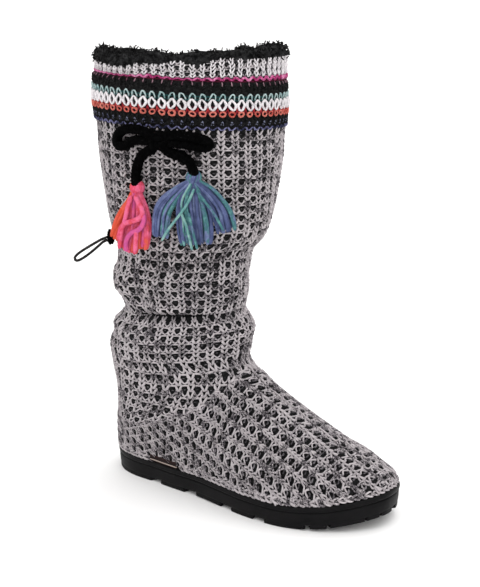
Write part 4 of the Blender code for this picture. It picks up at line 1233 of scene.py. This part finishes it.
def scatter_tree():
    """Small curls stand on a surface, most of them where its pile is whole."""
    tree, inlet = open_tree("scatter curls", "Pile", {
        "Surface": "Geometry", "Curl": "Object", "Density": "Float", "Seed": "Int",
        "Small": "Float", "Large": "Float", "Material": "Material"})
    seed = inlet["Seed"]
    spots = wire(tree, "GeometryNodeDistributePointsOnFaces",
                 {"Mesh": inlet["Surface"], "Seed": seed,
                  "Density": reckon(tree, "MULTIPLY", stored(tree, "pile"),
                                    inlet["Density"])})
    turn = chance(tree, tuple(-most for most in CURL_SPIN), CURL_SPIN, seed,
                  "FLOAT_VECTOR")
    spin = wire(tree, "FunctionNodeEulerToRotation", {0: turn})
    placed = wire(tree, "FunctionNodeRotateRotation", {0: spots.outputs["Rotation"],
                                                       1: spin.outputs[0]},
                  rotation_space="LOCAL")
    real = stand_copies(tree, spots.outputs["Points"], inlet["Curl"], placed.outputs[0],
                        chance(tree, inlet["Small"], inlet["Large"], seed),
                        chance(tree, 0.0, 1.0, seed))
    return close_tree(tree, real, inlet["Material"])


# A tuft of pile as drawn, in mm, with its radii.
CURL_PATH = ((0, 0, -0.4), (0.135, 0.1, 0.76), (0.54, 0.3, 1.52), (1.125, 0.15, 1.9),
             (1.53, -0.3, 1.33))
CURL_RADII = (0.42, 0.462, 0.42, 0.336, 0.168)
CURL_DENSITY, CURL_RANGE = 112000.0, (0.6, 1.4)


def build_fleece(finish):
    """The roll and its curls, each a hook of a few dozen faces."""
    roll = build_roll(finish)
    curl = bundle("curl", [tube(np.array(CURL_PATH) * MM, np.array(CURL_RADII) * MM,
                                STRAND_SIDES)])
    keep(knit_from("fleece_curls", roll, scatter_tree(), {
        "Curl": curl, "Density": CURL_DENSITY, "Seed": 5, "Small": CURL_RANGE[0],
        "Large": CURL_RANGE[1], "Material": finish}), "collar_fleece")
    put_away(curl)


# ---- bow cords -------------------------------------------------------------------------------
CORD_RADIUS = 4.0 * MM
KNOT_CENTRE = (56.5, 294.0, 6.4)
KNOT_SIZE = (10.5, 6.0, 8.2)
BOW_ROUTES = {
    "bow_loop_back": ((46.8, 300.0, 6.0), (41.0, 302.4, 5.4), (32.0, 302.6, 4.4),
                      (22.5, 300.2, 3.9), (16.4, 295.8, 3.8), (14.8, 290.4, 3.8),
                      (18.4, 287.2, 3.9), (26.0, 288.9, 4.2), (34.5, 292.8, 4.8),
                      (45.6, 293.6, 5.4)),
    "bow_loop_front": ((66.6, 299.0, 6.8), (74.0, 299.2, 6.8), (81.5, 297.4, 6.4),
                       (88.2, 294.0, 5.8), (88.6, 290.0, 5.0), (83.6, 289.6, 4.6),
                       (75.5, 291.6, 4.6), (67.6, 292.6, 5.2)),
    "bow_end_back": ((49.2, 286.6, 5.0), (44.0, 284.4, 4.4), (38.6, 279.6, 4.0),
                     (35.4, 273.6, 4.2), (34.2, 267.6, 5.2), (34.2, 262.6, 6.2)),
    "bow_end_front": ((62.4, 285.6, 5.2), (67.0, 283.8, 4.4), (73.0, 281.2, 4.0),
                      (77.0, 278.2, 4.8), (78.6, 274.2, 6.4)),
}
# Where a cord's own route runs on, into the knot and into the tassel's head.
KNOT_ENTRY = {"bow_end_back": ((60.0, 297.0, 6.6), (54.0, 292.0, 6.4)),
              "bow_end_front": ((50.0, 297.0, 6.6), (57.0, 291.5, 6.4)),
              "bow_loop_back": ((54.5, 296.6, 6.4),), "bow_loop_front": ((59.5, 296.8, 6.6),)}
HEAD_ENTRY = {"bow_end_back": ((34.2, 257.0, 6.6),), "bow_end_front": ((79.6, 268.0, 8.4),),
              "bow_loop_back": ((54.5, 292.6, 6.2),), "bow_loop_front": ((59.5, 292.4, 6.0),)}
ROUTE_STEPS = 24
CHAINS = 4                               # chains of stitches round a cord
CHAIN_SLANT, ROW_RIB, CHAIN_RIB = 0.55, 0.06, 0.05
ROUND_END = 1.8                          # mm over which a cord's end closes
# Tilt, side step and thickness of each wrap of the knot, and how the knot's size is shared.
KNOT_WRAPS = ((0.35, 0.35, 1.0), (-0.25, -0.35, 1.0), (0.1, 0.0, 0.9))
WRAP_STEP, WRAP_TILT, WRAP_DEPTH, WRAP_HEIGHT, WRAP_RADIUS = 0.8, 0.45, 0.52, 0.6, 0.5
WRAP_STEPS, KNOT_SIDES, CORE_STEPS = 25, 12, 9
KNOT_CORE = (0.75, 0.8)                  # length and thickness of the core, as shares


def crochet_cord(name, route, radius, finish, rows_per_mm=0.42, sides=16, taper=True):
    """A round crocheted cord: chains of slanted stitches along it stand as low ribs."""
    length = path_length(route) / MM
    fine = smooth_route(route, max(int(length * 1.6), ROUTE_STEPS))
    verts, faces, pairs = tube(fine, 1.0, sides)
    run, turn = pairs[:, 0] / MM, pairs[:, 1]
    lane = (turn * CHAINS) % 1.0
    slant = np.abs(lane - 0.5) * 2
    wave = np.cos(2 * math.pi * (run * rows_per_mm - slant * CHAIN_SLANT))
    rib = 0.95 + ROW_RIB * wave + CHAIN_RIB * np.cos(2 * math.pi * (lane - 0.5))
    centre = np.repeat(fine, sides, axis=0)
    close = np.ones(len(run))
    if taper:
        close = np.sqrt(np.clip(np.minimum(run, length - run) / ROUND_END + 0.2, 0, 1))
    verts = centre + (verts - centre) * (radius * rib * close)[:, None]
    return closed_shape(name, verts, faces, finish, np.stack((run, turn), axis=1))


def route_over_shaft(rows):
    """Points over the shaft's outer side, from rows of x, z and height off it in mm."""
    return np.array([shaft_point(x * MM, z * MM, lift * MM) for x, z, lift in rows])


def plump_core(centre, reach, share, radius, sides):
    """A core under wraps of yarn, thick in its middle; reach is a vector to its full end."""
    places = np.linspace(-share, share, CORE_STEPS)
    return tube([centre + reach * place for place in places],
                radius * np.sqrt(1 - places**2), sides)


def build_bow(finish):
    """Loops, ends and knot of the crocheted bow.  Returns each cord with its route."""
    cords = {}
    for name, rows in BOW_ROUTES.items():
        route = smooth_route(route_over_shaft(KNOT_ENTRY[name] + rows + HEAD_ENTRY[name]),
                             ROUTE_STEPS)
        cords[name] = (keep(crochet_cord(name + "_cord", route, CORD_RADIUS, finish), name),
                       route)
    x, z, lift = (value * MM for value in KNOT_CENTRE)
    centre = shaft_point(x, z, lift)
    out = centre - shaft_point(x, z)
    out /= np.linalg.norm(out)
    along = np.cross((0, 0, 1), -out)
    along /= np.linalg.norm(along)
    up = np.cross(out, along)
    wide, deep, high = np.array(KNOT_SIZE) * MM
    tubes = []
    for tilt, step, thick in KNOT_WRAPS:
        path = [centre + along * wide * (step * WRAP_STEP + tilt * math.sin(a) * WRAP_TILT)
                + out * math.cos(a) * deep * WRAP_DEPTH + up * math.sin(a) * high * WRAP_HEIGHT
                for a in np.linspace(0, 2 * math.pi, WRAP_STEPS)]
        tubes.append(tube(path, deep * WRAP_RADIUS * thick, KNOT_SIDES))
    tubes.append(plump_core(centre, along * wide, KNOT_CORE[0], deep * KNOT_CORE[1],
                            KNOT_SIDES))
    keep(bundle("bow_knot_wraps", tubes, finish), "bow_knot")
    return cords


# ---- tassels ---------------------------------------------------------------------------------
# Where each tassel's sheet stands, its head and its locks (rows of place, height and half
# width), the strands' radius and number in a lock, and how far a dye drifts down a strand.
TASSELS = {
    "tassel_back": {
        "origin": (0.0, -69.2), "facing": 270.0, "bow": 400.0,
        "head": (34.2, 256.0, 6.0, 5.4), "depth": 4.4, "seed": 23,
        "radius": 1.7, "strands": 14, "fade": 0.9,
        "head_dyes": ("pink", "pink", "rose_red", "coral"),
        "locks": (
            ((32.8, 254, 3.0), (26.5, 241, 5.2), (17.5, 227, 6.0), (10.0, 212, 5.4)),
            ((33.4, 254, 3.0), (29.0, 239, 5.4), (23.0, 221, 6.2), (18.5, 204, 5.6)),
            ((34.0, 254, 3.0), (33.5, 237, 5.6), (31.0, 219, 6.2), (28.0, 202, 5.6)),
            ((34.8, 254, 3.0), (39.0, 239, 5.4), (40.0, 223, 6.2), (38.5, 206, 5.6)),
        ),
    },
    "tassel_front": {
        "origin": (77.4, -59.8), "facing": 296.8, "bow": 75.0,
        "head": (5.0, 266.6, 6.2, 5.6), "depth": 4.2, "seed": 29,
        "radius": 1.2, "strands": 24, "fade": 0.3,
        "head_dyes": ("slate", "teal", "periwinkle"),
        "locks": (
            ((3.0, 264, 3.0), (-9.0, 254, 5.8), (-20.0, 239, 8.4), (-23.0, 217, 7.6)),
            ((4.2, 264, 3.2), (-1.6, 248, 7.4), (-1.0, 231, 8.4), (1.0, 212, 7.6)),
            ((5.4, 264, 3.2), (9.6, 249, 6.4), (12.5, 231, 7.6), (13.5, 213, 7.2)),
            ((6.6, 264, 3.0), (17.4, 254, 5.6), (25.5, 240, 7.8), (29.5, 222, 7.8)),
        ),
    },
}
# Share of each dye in a lock, from its first side to its last.
LOCK_DYES = {
    "tassel_back": (("coral", "coral", "rose_red"), ("coral", "rose_red", "pink"),
                    ("pink", "lilac", "rose_red"), ("pink", "lilac", "pink")),
    "tassel_front": (("periwinkle", "slate", "periwinkle", "teal"),
                     ("slate", "mint", "teal", "periwinkle"),
                     ("periwinkle", "slate", "teal", "slate"),
                     ("slate", "periwinkle", "slate", "teal")),
}
# Where each dye lies on its yarn's colours.
PALETTES = {"tassel_back": {"coral": 0.05, "pink": 0.45, "rose_red": 0.55, "lilac": 0.85},
            "tassel_front": {"slate": 0.1, "periwinkle": 0.35, "teal": 0.65, "mint": 0.9}}
# Strands that lie loose over the others: points as above, dye and thickness.
LOOSE = {
    "tassel_back": (
        (((36.0, 250.5, 5.2), (40.0, 246.0, 6.4), (44.0, 240.0, 6.8), (43.0, 234.6, 7.2),
          (36.5, 231.0, 7.4), (28.5, 228.4, 7.4), (23.6, 223.6, 7.2), (20.6, 214.6, 6.6)),
         "pink", 1.25),
        (((44.2, 238.0, 6.0), (45.0, 231.0, 6.6), (41.0, 224.6, 7.2), (33.0, 220.6, 7.2),
          (28.4, 214.0, 7.0), (27.6, 206.0, 6.2)), "lilac", 1.2),
        (((33.0, 250.0, 5.4), (30.6, 242.0, 6.8), (28.0, 232.0, 7.0), (24.0, 222.0, 6.8),
          (21.0, 208.0, 6.0)), "pink", 1.1),
        (((38.4, 224.0, 7.4), (38.0, 216.0, 7.4), (36.0, 206.0, 6.4)), "rose_red", 1.1),
    ),
    "tassel_front": (
        (((6.2, 258.4, 4.6), (2.6, 249.6, 5.6), (-3.4, 240.4, 5.8), (-11.4, 230.2, 5.8),
          (-16.0, 224.0, 5.6), (-19.8, 217.6, 5.0)), "mint", 0.9),
        (((-3.4, 239.4, 5.8), (0.6, 228.4, 5.8), (4.4, 211.4, 5.2)), "mint", 0.9),
        (((2.0, 240.4, 5.8), (4.6, 228.4, 5.8), (8.4, 212.0, 5.2)), "teal", 0.9),
        (((8.0, 257.0, 4.6), (15.0, 248.0, 5.6), (22.0, 238.0, 5.8), (28.0, 226.0, 5.4)),
         "teal", 0.9),
    ),
}
NECK_OPENING = 0.34                      # run of a lock over which its strands spread out
NECK_WIDTH, NECK_DEPTH, LEAST = 0.55, 0.7, 0.6    # shares at the neck, and mm at the least
SPREAD_BEND, WAVE_SIZE, WAVES = 0.7, 0.55, (5, 10)
STRAND_CUT, ODD_DYE, DYE_DRIFT = (0.93, 1.0), 0.16, (0.1, 1.0)
TIP = 0.55                               # thickness of a strand's last point
LOCK_STEPS, LOOSE_STEPS, FADE_BEND = 26, 30, 2.5
JITTER, SWING = 0.3, 0.5                 # of a strand's place round its lock, and its drift
OUTER_REACH, INNER_REACH = (0.75, 1.0), (0.15, 0.7)    # every third strand lies inside
STRAND_THICK, HEAD_THICK = (0.85, 1.1), (0.6, 0.8)
HEAD_ARC, HEAD_SLANT, HEAD_BULGE = (0.06, math.pi * 0.98, 14), 0.3, (0.92, 1.04)
HEAD_WRAPS, HEAD_SHARE = 22, 0.86        # windings of the head, and how far in they lie
STRAND_SPACING, PLIED_SIDES = 1.6 * MM, 7


def tassel_point(tassel, s, z, depth):
    """Places in a tassel's sheet, in metres from its own millimetres."""
    angle = math.radians(tassel["facing"])
    off = depth - s * s / (2 * tassel["bow"])
    x0, y0 = tassel["origin"]
    return np.stack(((x0 - math.sin(angle) * s + math.cos(angle) * off) * MM,
                     (y0 + math.cos(angle) * s + math.sin(angle) * off) * MM, z * MM), axis=-1)


def strand_tree():
    """Guide lines become plied yarn: each keeps its own dye and thickness."""
    tree, inlet = open_tree("spin strands", "Strands", {
        "Guides": "Geometry", "Spacing": "Float", "Radius": "Float", "Sides": "Int",
        "Material": "Material"})
    curve = wire(tree, "GeometryNodeMeshToCurve", {"Mesh": inlet["Guides"]})
    even = wire(tree, "GeometryNodeResampleCurve", {"Curve": curve.outputs[0],
                                                    "Length": inlet["Spacing"]},
                mode="LENGTH")
    place = wire(tree, "GeometryNodeSplineParameter")
    marked = store(tree, even.outputs[0], "run",
                   reckon(tree, "MULTIPLY", place.outputs["Length"], 1000.0))
    thick = stored(tree, "thick")
    sized = wire(tree, "GeometryNodeSetCurveRadius", {"Curve": marked, "Radius": thick})
    ring = wire(tree, "GeometryNodeCurvePrimitiveCircle", {"Resolution": inlet["Sides"],
                                                           "Radius": inlet["Radius"]})
    circle = store(tree, ring.outputs[0], "turn", place.outputs["Factor"])
    mesh = wire(tree, "GeometryNodeCurveToMesh", {"Curve": sized.outputs[0],
                                                  "Profile Curve": circle,
                                                  "Scale": thick, "Fill Caps": True})
    pair = wire(tree, "ShaderNodeCombineXYZ", {"X": stored(tree, "run"),
                                               "Y": stored(tree, "turn")})
    mapped = store(tree, mesh.outputs[0], "UVMap", pair.outputs[0], "CORNER", "FLOAT2")
    real = wire(tree, "GeometryNodeRealizeInstances", {0: mapped})
    return close_tree(tree, real.outputs[0], inlet["Material"])


def guide_lines(name, lines):
    """lines are (points, dye from 0 to 1, thickness at each point)."""
    edges, base = [], 0
    for points, _, _ in lines:
        edges += [(base + i, base + i + 1) for i in range(len(points) - 1)]
        base += len(points)
    mesh = bpy.data.meshes.new(name)
    mesh.from_pydata([tuple(v) for points, _, _ in lines for v in points], edges, [])
    made = place_in_scene(name, mesh)
    note_on_points(made, "tone", np.concatenate([np.full(len(points), dyed)
                                                 for points, dyed, _ in lines]))
    note_on_points(made, "thick", np.concatenate([thick for _, _, thick in lines]))
    return made


def lock_lines(tassel, rows, dyes, palette, rng):
    """Strands of one lock, spread over its oval section and slightly wandering."""
    route = smooth_route(rows, LOCK_STEPS)
    run = np.linspace(0, 1, len(route))
    ahead = unit(np.gradient(route[:, :2], axis=0))
    side = np.stack((-ahead[:, 1], ahead[:, 0]), axis=1)
    spread = np.clip(run / NECK_OPENING, 0, 1) ** SPREAD_BEND
    own = tassel["radius"] * 0.8         # room that the strand itself takes up
    half, deep = (np.maximum(size - own, LEAST) * (neck + (1 - neck) * spread)
                  for size, neck in ((route[:, 2], NECK_WIDTH), (tassel["depth"], NECK_DEPTH)))
    lines = []
    for k in range(tassel["strands"]):
        angle = 2 * math.pi * (k + rng.uniform(-JITTER, JITTER)) / tassel["strands"]
        reach = rng.uniform(*(OUTER_REACH if k % 3 else INNER_REACH))
        swing = rng.uniform(-SWING, SWING)
        phase = rng.uniform(0, 6.28)
        turn = angle + swing * run
        wave = WAVE_SIZE * np.sin(run * rng.uniform(*WAVES) + phase) * spread
        across = half * reach * np.cos(turn) + wave
        places = route[:, :2] + side * across[:, None]
        cut = int(len(route) * rng.uniform(*STRAND_CUT))
        points = tassel_point(tassel, places[:, 0], places[:, 1],
                              deep * reach * np.sin(turn))[:cut]
        share = (math.cos(angle) + 1) / 2
        pick = dyes[int(min(share * len(dyes), len(dyes) - 1))]
        if rng.uniform() < ODD_DYE:
            pick = dyes[int(rng.integers(len(dyes)))]
        thick = np.linspace(1.0, 1.05, cut) * rng.uniform(*STRAND_THICK)
        thick[-1] *= TIP
        drift = tassel["fade"] * rng.uniform(*DYE_DRIFT)
        lines.append((points, palette[pick] * (1 - drift * run[:cut] ** FADE_BEND),
                      thick))
    return lines


def loose_lines(tassel, strands, palette):
    """Strands that lie loose over the locks, along routes of their own."""
    lines = []
    for rows, pick, thick in strands:
        route = smooth_route(rows, LOOSE_STEPS)
        size = np.full(len(route), thick)
        size[[0, -1]] *= 0.5
        lines.append((tassel_point(tassel, *route.T), palette[pick], size))
    return lines


def head_lines(tassel, palette, rng):
    """Yarn wound over the tassel's head from its top down to the neck, round a core."""
    s, z, half_width, half_height = tassel["head"]
    dyes, lines = tassel["head_dyes"], []
    for k in range(HEAD_WRAPS):
        turn = 2 * math.pi * (k + rng.uniform(-JITTER, JITTER)) / HEAD_WRAPS
        t = np.linspace(*HEAD_ARC)
        bulge = np.sin(t) ** 0.8 * rng.uniform(*HEAD_BULGE)
        across = np.cos(turn + HEAD_SLANT * t) * half_width * bulge * HEAD_SHARE
        depth = np.sin(turn + HEAD_SLANT * t) * half_width * HEAD_SHARE * bulge * HEAD_SHARE
        points = tassel_point(tassel, s + across, z + np.cos(t) * half_height * HEAD_SHARE,
                              depth)
        pick = dyes[int(rng.integers(len(dyes)))]
        lines.append((points, palette[pick], np.full(len(t), rng.uniform(*HEAD_THICK))))
    core = np.linspace(-0.8, 0.8, 9)
    lines.append((tassel_point(tassel, np.full(9, s), z + half_height * core, 0.0),
                  palette[dyes[0]], half_width * 0.5 * np.sqrt(1 - core**2)))
    return lines


def build_tassel(name, tree, finish):
    """One tassel of its locks, its wound head and its loose strands."""
    tassel, palette = TASSELS[name], PALETTES[name]
    rng = np.random.default_rng(tassel["seed"])
    lines = []
    for rows, dyes in zip(tassel["locks"], LOCK_DYES[name]):
        lines += lock_lines(tassel, rows, dyes, palette, rng)
    lines += head_lines(tassel, palette, rng) + loose_lines(tassel, LOOSE[name], palette)
    guides = guide_lines(name + "_guides", lines)
    made = knit_from(name + "_strands", guides, tree, {
        "Spacing": STRAND_SPACING, "Radius": tassel["radius"] * MM, "Sides": PLIED_SIDES,
        "Material": finish})
    put_away(guides)
    return keep(made, name)


# ---- hanging loop and side tab ---------------------------------------------------------------
LOOP_RADIUS = 1.25 * MM
LOOP_SEAT = (-20.5, 208.0)
LOOP_TAB_SIZE, LOOP_TAB_ROWS = (3.4, 3.4, 6.0), 7
LOOP_TAB_RISE = (-0.85, 0.28)            # place of the lowest row, and from row to row
LOOP_TAB_SHARE, LOOP_TAB_WAVE = 0.72, 0.10
LOOP_FACING, LOOP_STEPS = 216.2, 30      # degrees that it hangs towards
LOOP_ROUTE = ((4.2, -0.6), (7.6, -2.2), (12.0, -4.0), (22.0, -9.8), (29.8, -14.8),
              (33.6, -18.4), (33.8, -20.9), (31.2, -21.6), (24.0, -17.4), (16.0, -11.0),
              (10.0, -5.8), (7.0, -4.6), (3.8, -3.2))
TAB_RANGE, TAB_HEIGHT, TAB_THICKNESS = (17.5, 48.5), (19.4, 25.0), 0.9 * MM


def build_back_loop(finish, fuzz):
    """The hanging loop and the crocheted tab that holds it.  Returns the loop, its route."""
    x, z = (value * MM for value in LOOP_SEAT)
    seat = shaft_point(x, z)
    facing = math.radians(LOOP_FACING)
    out = np.array((math.cos(facing), math.sin(facing), 0.0))
    route = smooth_route([seat + out * reach * MM + np.array((0, 0, rise * MM))
                          for reach, rise in LOOP_ROUTE], LOOP_STEPS)
    cord = keep(crochet_cord("hanging_loop_cord", route, LOOP_RADIUS, finish, 1.0, 10, False),
                "back_loop")
    centre = shaft_point(x, z, LOOP_TAB_SIZE[1] * MM + GAP)
    size = np.array(LOOP_TAB_SIZE) * MM
    tubes = []
    for k in range(LOOP_TAB_ROWS):
        rise = LOOP_TAB_RISE[0] + k * LOOP_TAB_RISE[1]
        wide = math.sqrt(1 - rise**2) * LOOP_TAB_SHARE
        ring = [centre + size * np.array((wide * math.cos(a), wide * math.sin(a),
                                          rise + LOOP_TAB_WAVE * math.cos(a * 2 + k)))
                for a in np.linspace(0, 2 * math.pi, 15)]
        tubes.append(tube(ring, size[0] * 0.3, 7))
    tubes.append(plump_core(centre, np.array((0, 0, size[2])), 0.9,
                            size[0] * LOOP_TAB_SHARE, 10))
    keep(bundle("hanging_loop_tab", tubes, fuzz), "loop_tab")
    return cord, route


TAPE_BROWN = (0.024, 0.011, 0.010, 1.0)
TAPE_LINES = ((0.0, (0.012, 0.006, 0.006, 1.0)), (0.2, (0.40, 0.33, 0.29, 1.0)),
              (0.36, (0.012, 0.006, 0.006, 1.0)), (0.80, (0.022, 0.010, 0.009, 1.0)))
TAPE_STATIONS, TAPE_ROWS = 40, 9
TAPE_EDGE = 0.82                         # thickness of the tape's edges beside its middle


def woven_finish():
    """Blank woven tape: brown warp with a cream edge line, crossed by fine weft ribs."""
    made, tree, shader = new_finish("woven_tab", TAPE_BROWN, 0.85)
    pair = wire(tree, "ShaderNodeUVMap", uv_map="UVMap")
    part = wire(tree, "ShaderNodeSeparateXYZ", {"Vector": pair.outputs["UV"]})
    paint(tree, shader, part.outputs["Y"], TAPE_LINES, hold=True)
    weft = reckon(tree, "SINE", reckon(tree, "MULTIPLY", part.outputs["X"], 6.0))
    add_relief(tree, shader, weft, 0.6, 0.3 * MM)
    return made


def build_side_tab(finish):
    """The woven strip, curved with the boot, a little thicker in its middle."""
    shares = np.linspace(0, 1, TAPE_ROWS)
    profile = [(0, GAP), *((share, GAP + TAB_THICKNESS * (
        TAPE_EDGE + (1 - TAPE_EDGE) * math.sin(math.pi * share))) for share in shares),
        (1, GAP)]
    verts, pairs = [], []
    for x in np.linspace(*TAB_RANGE, TAPE_STATIONS):
        for share, lift in profile:
            z = TAB_HEIGHT[0] + (TAB_HEIGHT[1] - TAB_HEIGHT[0]) * share
            verts.append(shaft_point(x * MM, z * MM, lift))
            pairs.append((x, share))
    keep(closed_shape("side_tab_tape", verts, capped_faces(TAPE_STATIONS, len(profile)), finish,
                      pairs, smooth=False), "side_tab")


# ---- sole ------------------------------------------------------------------------------------
SOLE_SIDE = ((2.9, 1.9), (3.6, 1.35), (5.0, 1.0), (8.5, 0.7), (12.0, 0.5), (12.5, 0.7),
             (12.9, 1.4), (13.4, 1.7), (13.8, 1.3), (14.1, 0.3), (14.6, 0.0), (16.0, -0.15),
             (17.2, 0.0), (17.9, 0.4), (18.3, 1.1))
LUG_ROOT, LUG_INSET = 1.0 * MM, 1.5 * MM
SIDE_LUG_DEPTH, TOE_LUG_DEPTH = 24.0 * MM, 14.0 * MM
TOE_LUGS = ((-48, -40.5), (-39, -22), (-20.5, -11.5), (-8.3, 3), (8.2, 14.5), (17, 30),
            (33, 45))
SIDE_LUGS = ((48, 62), (67, 77), (82, 94), (100, 113), (120, 132), (137, 166),
             (194, 234), (240, 253), (259, 272), (277, 287.5), (292.5, 310))
PADS = ((0.0, 30 * MM, 20 * MM), (122 * MM, 34 * MM, 26 * MM))   # x, length and width
SOLE_STATIONS, PAD_STATIONS = 240, 96
LUG_STEP, LUG_OVERLAP = 1.2, 0.1 * MM    # degrees between a lug's points; where it joins
EDGE_ANGLE = math.radians(50)
BODY_EDGE, LUG_EDGE = 0.25 * MM, 0.5 * MM


def round_edges(piece, width, segments):
    """Take the sharpness off a piece's edges."""
    bevel = piece.modifiers.new("edge", "BEVEL")
    bevel.width, bevel.segments, bevel.limit_method = width, segments, "ANGLE"
    return bevel


def build_sole(finish):
    """The rubber body in level rings, and the lugs and pads of its tread."""
    rings = []
    for height, inset in SOLE_SIDE:
        x, y = outline(turns(SOLE_STATIONS), inset * MM)
        rings.append(np.stack((x, y, height * MM + sole_lift(x)), axis=1))
    body = closed_shape("rubber_sole", *stacked(rings), finish)
    round_edges(body, BODY_EDGE, 1).angle_limit = EDGE_ANGLE
    keep(body, "outsole")
    shapes = []
    for arcs, depth in ((SIDE_LUGS, SIDE_LUG_DEPTH), (TOE_LUGS, TOE_LUG_DEPTH)):
        for start, end in arcs:
            arc = np.radians(np.linspace(start, end, max(int((end - start) / LUG_STEP), 5)))
            outer = np.stack(outline(arc, LUG_INSET - LUG_OVERLAP), axis=1)
            inner = np.stack(outline(arc[::-1], LUG_INSET + depth), axis=1)
            shapes.append(np.concatenate((outer, inner)))
    for x, length, width in PADS:
        shapes.append(np.array([(x + length / 2 * a, width / 2 * b)
                                for a, b in ((-1, -1), (1, -1), (1, 1), (-1, 1))]))
    verts, faces, base = [], [], 0
    for shape in shapes:
        n = len(shape)
        for top in (0.0, LUG_HEIGHT + LUG_ROOT):
            verts.append(np.column_stack((shape, sole_lift(shape[:, 0]) + top)))
        faces += [(base + i, base + (i + 1) % n, base + n + (i + 1) % n, base + n + i)
                  for i in range(n)]
        for i in range(n // 2 - 1):
            quad = [base + k for k in (i, i + 1, n - 2 - i, n - 1 - i)]
            faces += [tuple(quad[::-1]), tuple(n + k for k in quad)]
        base += 2 * n
    tread = closed_shape("rubber_tread", np.concatenate(verts), faces, finish)
    round_edges(tread, LUG_EDGE, 2)
    keep(tread, "outsole")


INSOLE_INSET = SOLE_INSET + WALL + 1.6 * MM
# Height and inset of the footbed's rings, in mm, and how much of its width each one keeps.
INSOLE_RINGS = ((0.0, 0.0, 1.0), (3.2, 0.1, 1.0), (3.9, 0.9, 1.0), (4.2, 3.0, 1.0),
                (4.04, 3.0, 0.8), (3.88, 3.0, 0.6), (3.72, 3.0, 0.4), (3.56, 3.0, 0.2))


def build_insole(finish):
    """The fleece footbed, hollowed a little along its middle."""
    rings = []
    for height, inset, width in INSOLE_RINGS:
        x, y = outline(turns(PAD_STATIONS), INSOLE_INSET + inset * MM)
        rings.append(np.stack((x, y * width, SOLE_HEIGHT + GAP + sole_lift(x) + height * MM),
                              axis=1))
    keep(closed_shape("fleece_footbed", *stacked(rings), finish), "insole")


# ---- the whole boot --------------------------------------------------------------------------
# Yarns of the knit, of their names: stops of colour (a place and a swatch), and settings.
KNIT_YARNS = {
    "knit": (((0.34, (72, 68, 73)), (0.42, (156, 150, 153)), (0.51, (197, 190, 193)),
              (0.8, (197, 190, 193))), {"patch": 1000.0}),
    # the bumps: the same pale yarn as the knit, coloured darker as painted shade deep in the
    # holes
    "knit_bump_painted_shade": (((0.3, (40, 38, 41)), (0.55, (104, 100, 104)), (0.75, (140, 135, 139))), {}),
    "band_white": (((0.3, (176, 171, 176)), (0.5, (242, 237, 240))), {"tone": 0.12}),
    "band_teal": (((0.3, (100, 142, 144)), (0.56, (188, 208, 208))), {"tone": 0.2}),
    "band_coral": (((0.32, (178, 60, 54)), (0.66, (230, 140, 124))), {"tone": 0.2}),
    "band_magenta": (((0.35, (146, 36, 90)), (0.5, (204, 92, 148)), (0.66, (226, 150, 190))),
                     {}),
    "band_rose": (((0.3, (96, 52, 72)), (0.6, (176, 140, 152))), {}),
    "band_burgundy": (((0.3, (30, 4, 14)), (0.6, (84, 16, 44))), {}),
    "band_navy": (((0.3, (62, 66, 96)), (0.6, (136, 140, 164))), {}),
    "band_deep_navy": (((0.36, (30, 34, 60)), (0.6, (128, 128, 168))), {}),
    "band_deep_teal": (((0.3, (8, 26, 28)), (0.6, (24, 66, 66))), {}),
    "band_deep_red": (((0.3, (140, 24, 40)), (0.6, (196, 66, 70))), {}),
}
TASSEL_YARNS = {
    "pink_yarn": ((0.0, (214, 84, 58)), (0.22, (226, 96, 80)), (0.36, (218, 76, 104)),
                  (0.55, (236, 112, 148)), (0.75, (216, 92, 150)), (1.0, (188, 84, 146))),
    "blue_yarn": ((0.0, (66, 76, 112)), (0.25, (88, 98, 140)), (0.45, (116, 128, 166)),
                  (0.62, (64, 112, 118)), (0.8, (102, 154, 152)), (1.0, (150, 186, 180))),
}
TASSEL_LOOK = {"tone": 0.9, "patch": 160.0}
# Dark of each pile and the grey of its painted sheen, and its gloss or the size of its clumps.
PILES = {
    "cord": ((0.0006, 0.0006, 0.0007, 1.0), (0.003, 0.003, 0.0032, 1.0), {"gloss": 0.015}),
    "hanging_cord": ((0.014, 0.013, 0.013, 1.0), (0.055, 0.052, 0.05, 1.0), {}),
    "knit_ground": ((0.004, 0.004, 0.0043, 1.0), (0.024, 0.024, 0.0245, 1.0), {}),
    "fleece": ((0.0018, 0.0018, 0.002, 1.0), (0.042, 0.042, 0.0435, 1.0), {"scale": 200.0}),
}


def lay_knit(finishes):
    """All that is knitted: the ground with its lining, the shaft, foot, band and rim."""
    tree = chart_tree()
    shaft, band, foot, hem = shaft_chart(), band_chart(), foot_chart(), hem_chart()
    build_ground(finishes["knit_ground"], finishes["fleece"])
    for lay, sheet in ((lay_shaft, shaft), (lay_foot, foot), (lay_hem, hem),
                       (lay_band, band), (lay_rim, band)):
        lay(tree, sheet, finishes)
    put_away(shaft, band, foot, hem)


def main():
    """Set the stage and make every piece."""
    set_camera()
    set_light()
    set_floor()
    finishes = {name: pile_finish(name, dark, light, **look)
                for name, (dark, light, look) in PILES.items()}
    finishes |= {name: yarn_finish(name, stops, **look)
                 for name, (stops, look) in KNIT_YARNS.items()}
    finishes |= {name: yarn_finish(name, stops, **TASSEL_LOOK)
                 for name, stops in TASSEL_YARNS.items()}
    cords = build_bow(finishes["cord"])
    loop, loop_route = build_back_loop(finishes["hanging_cord"], finishes["cord"])
    lay_knit(finishes)
    build_fleece(finishes["fleece"])
    spin = strand_tree()
    back = build_tassel("tassel_back", spin, finishes["pink_yarn"])
    front = build_tassel("tassel_front", spin, finishes["blue_yarn"])
    build_side_tab(woven_finish())
    build_sole(rubber_finish())
    build_insole(finishes["fleece"])


main()
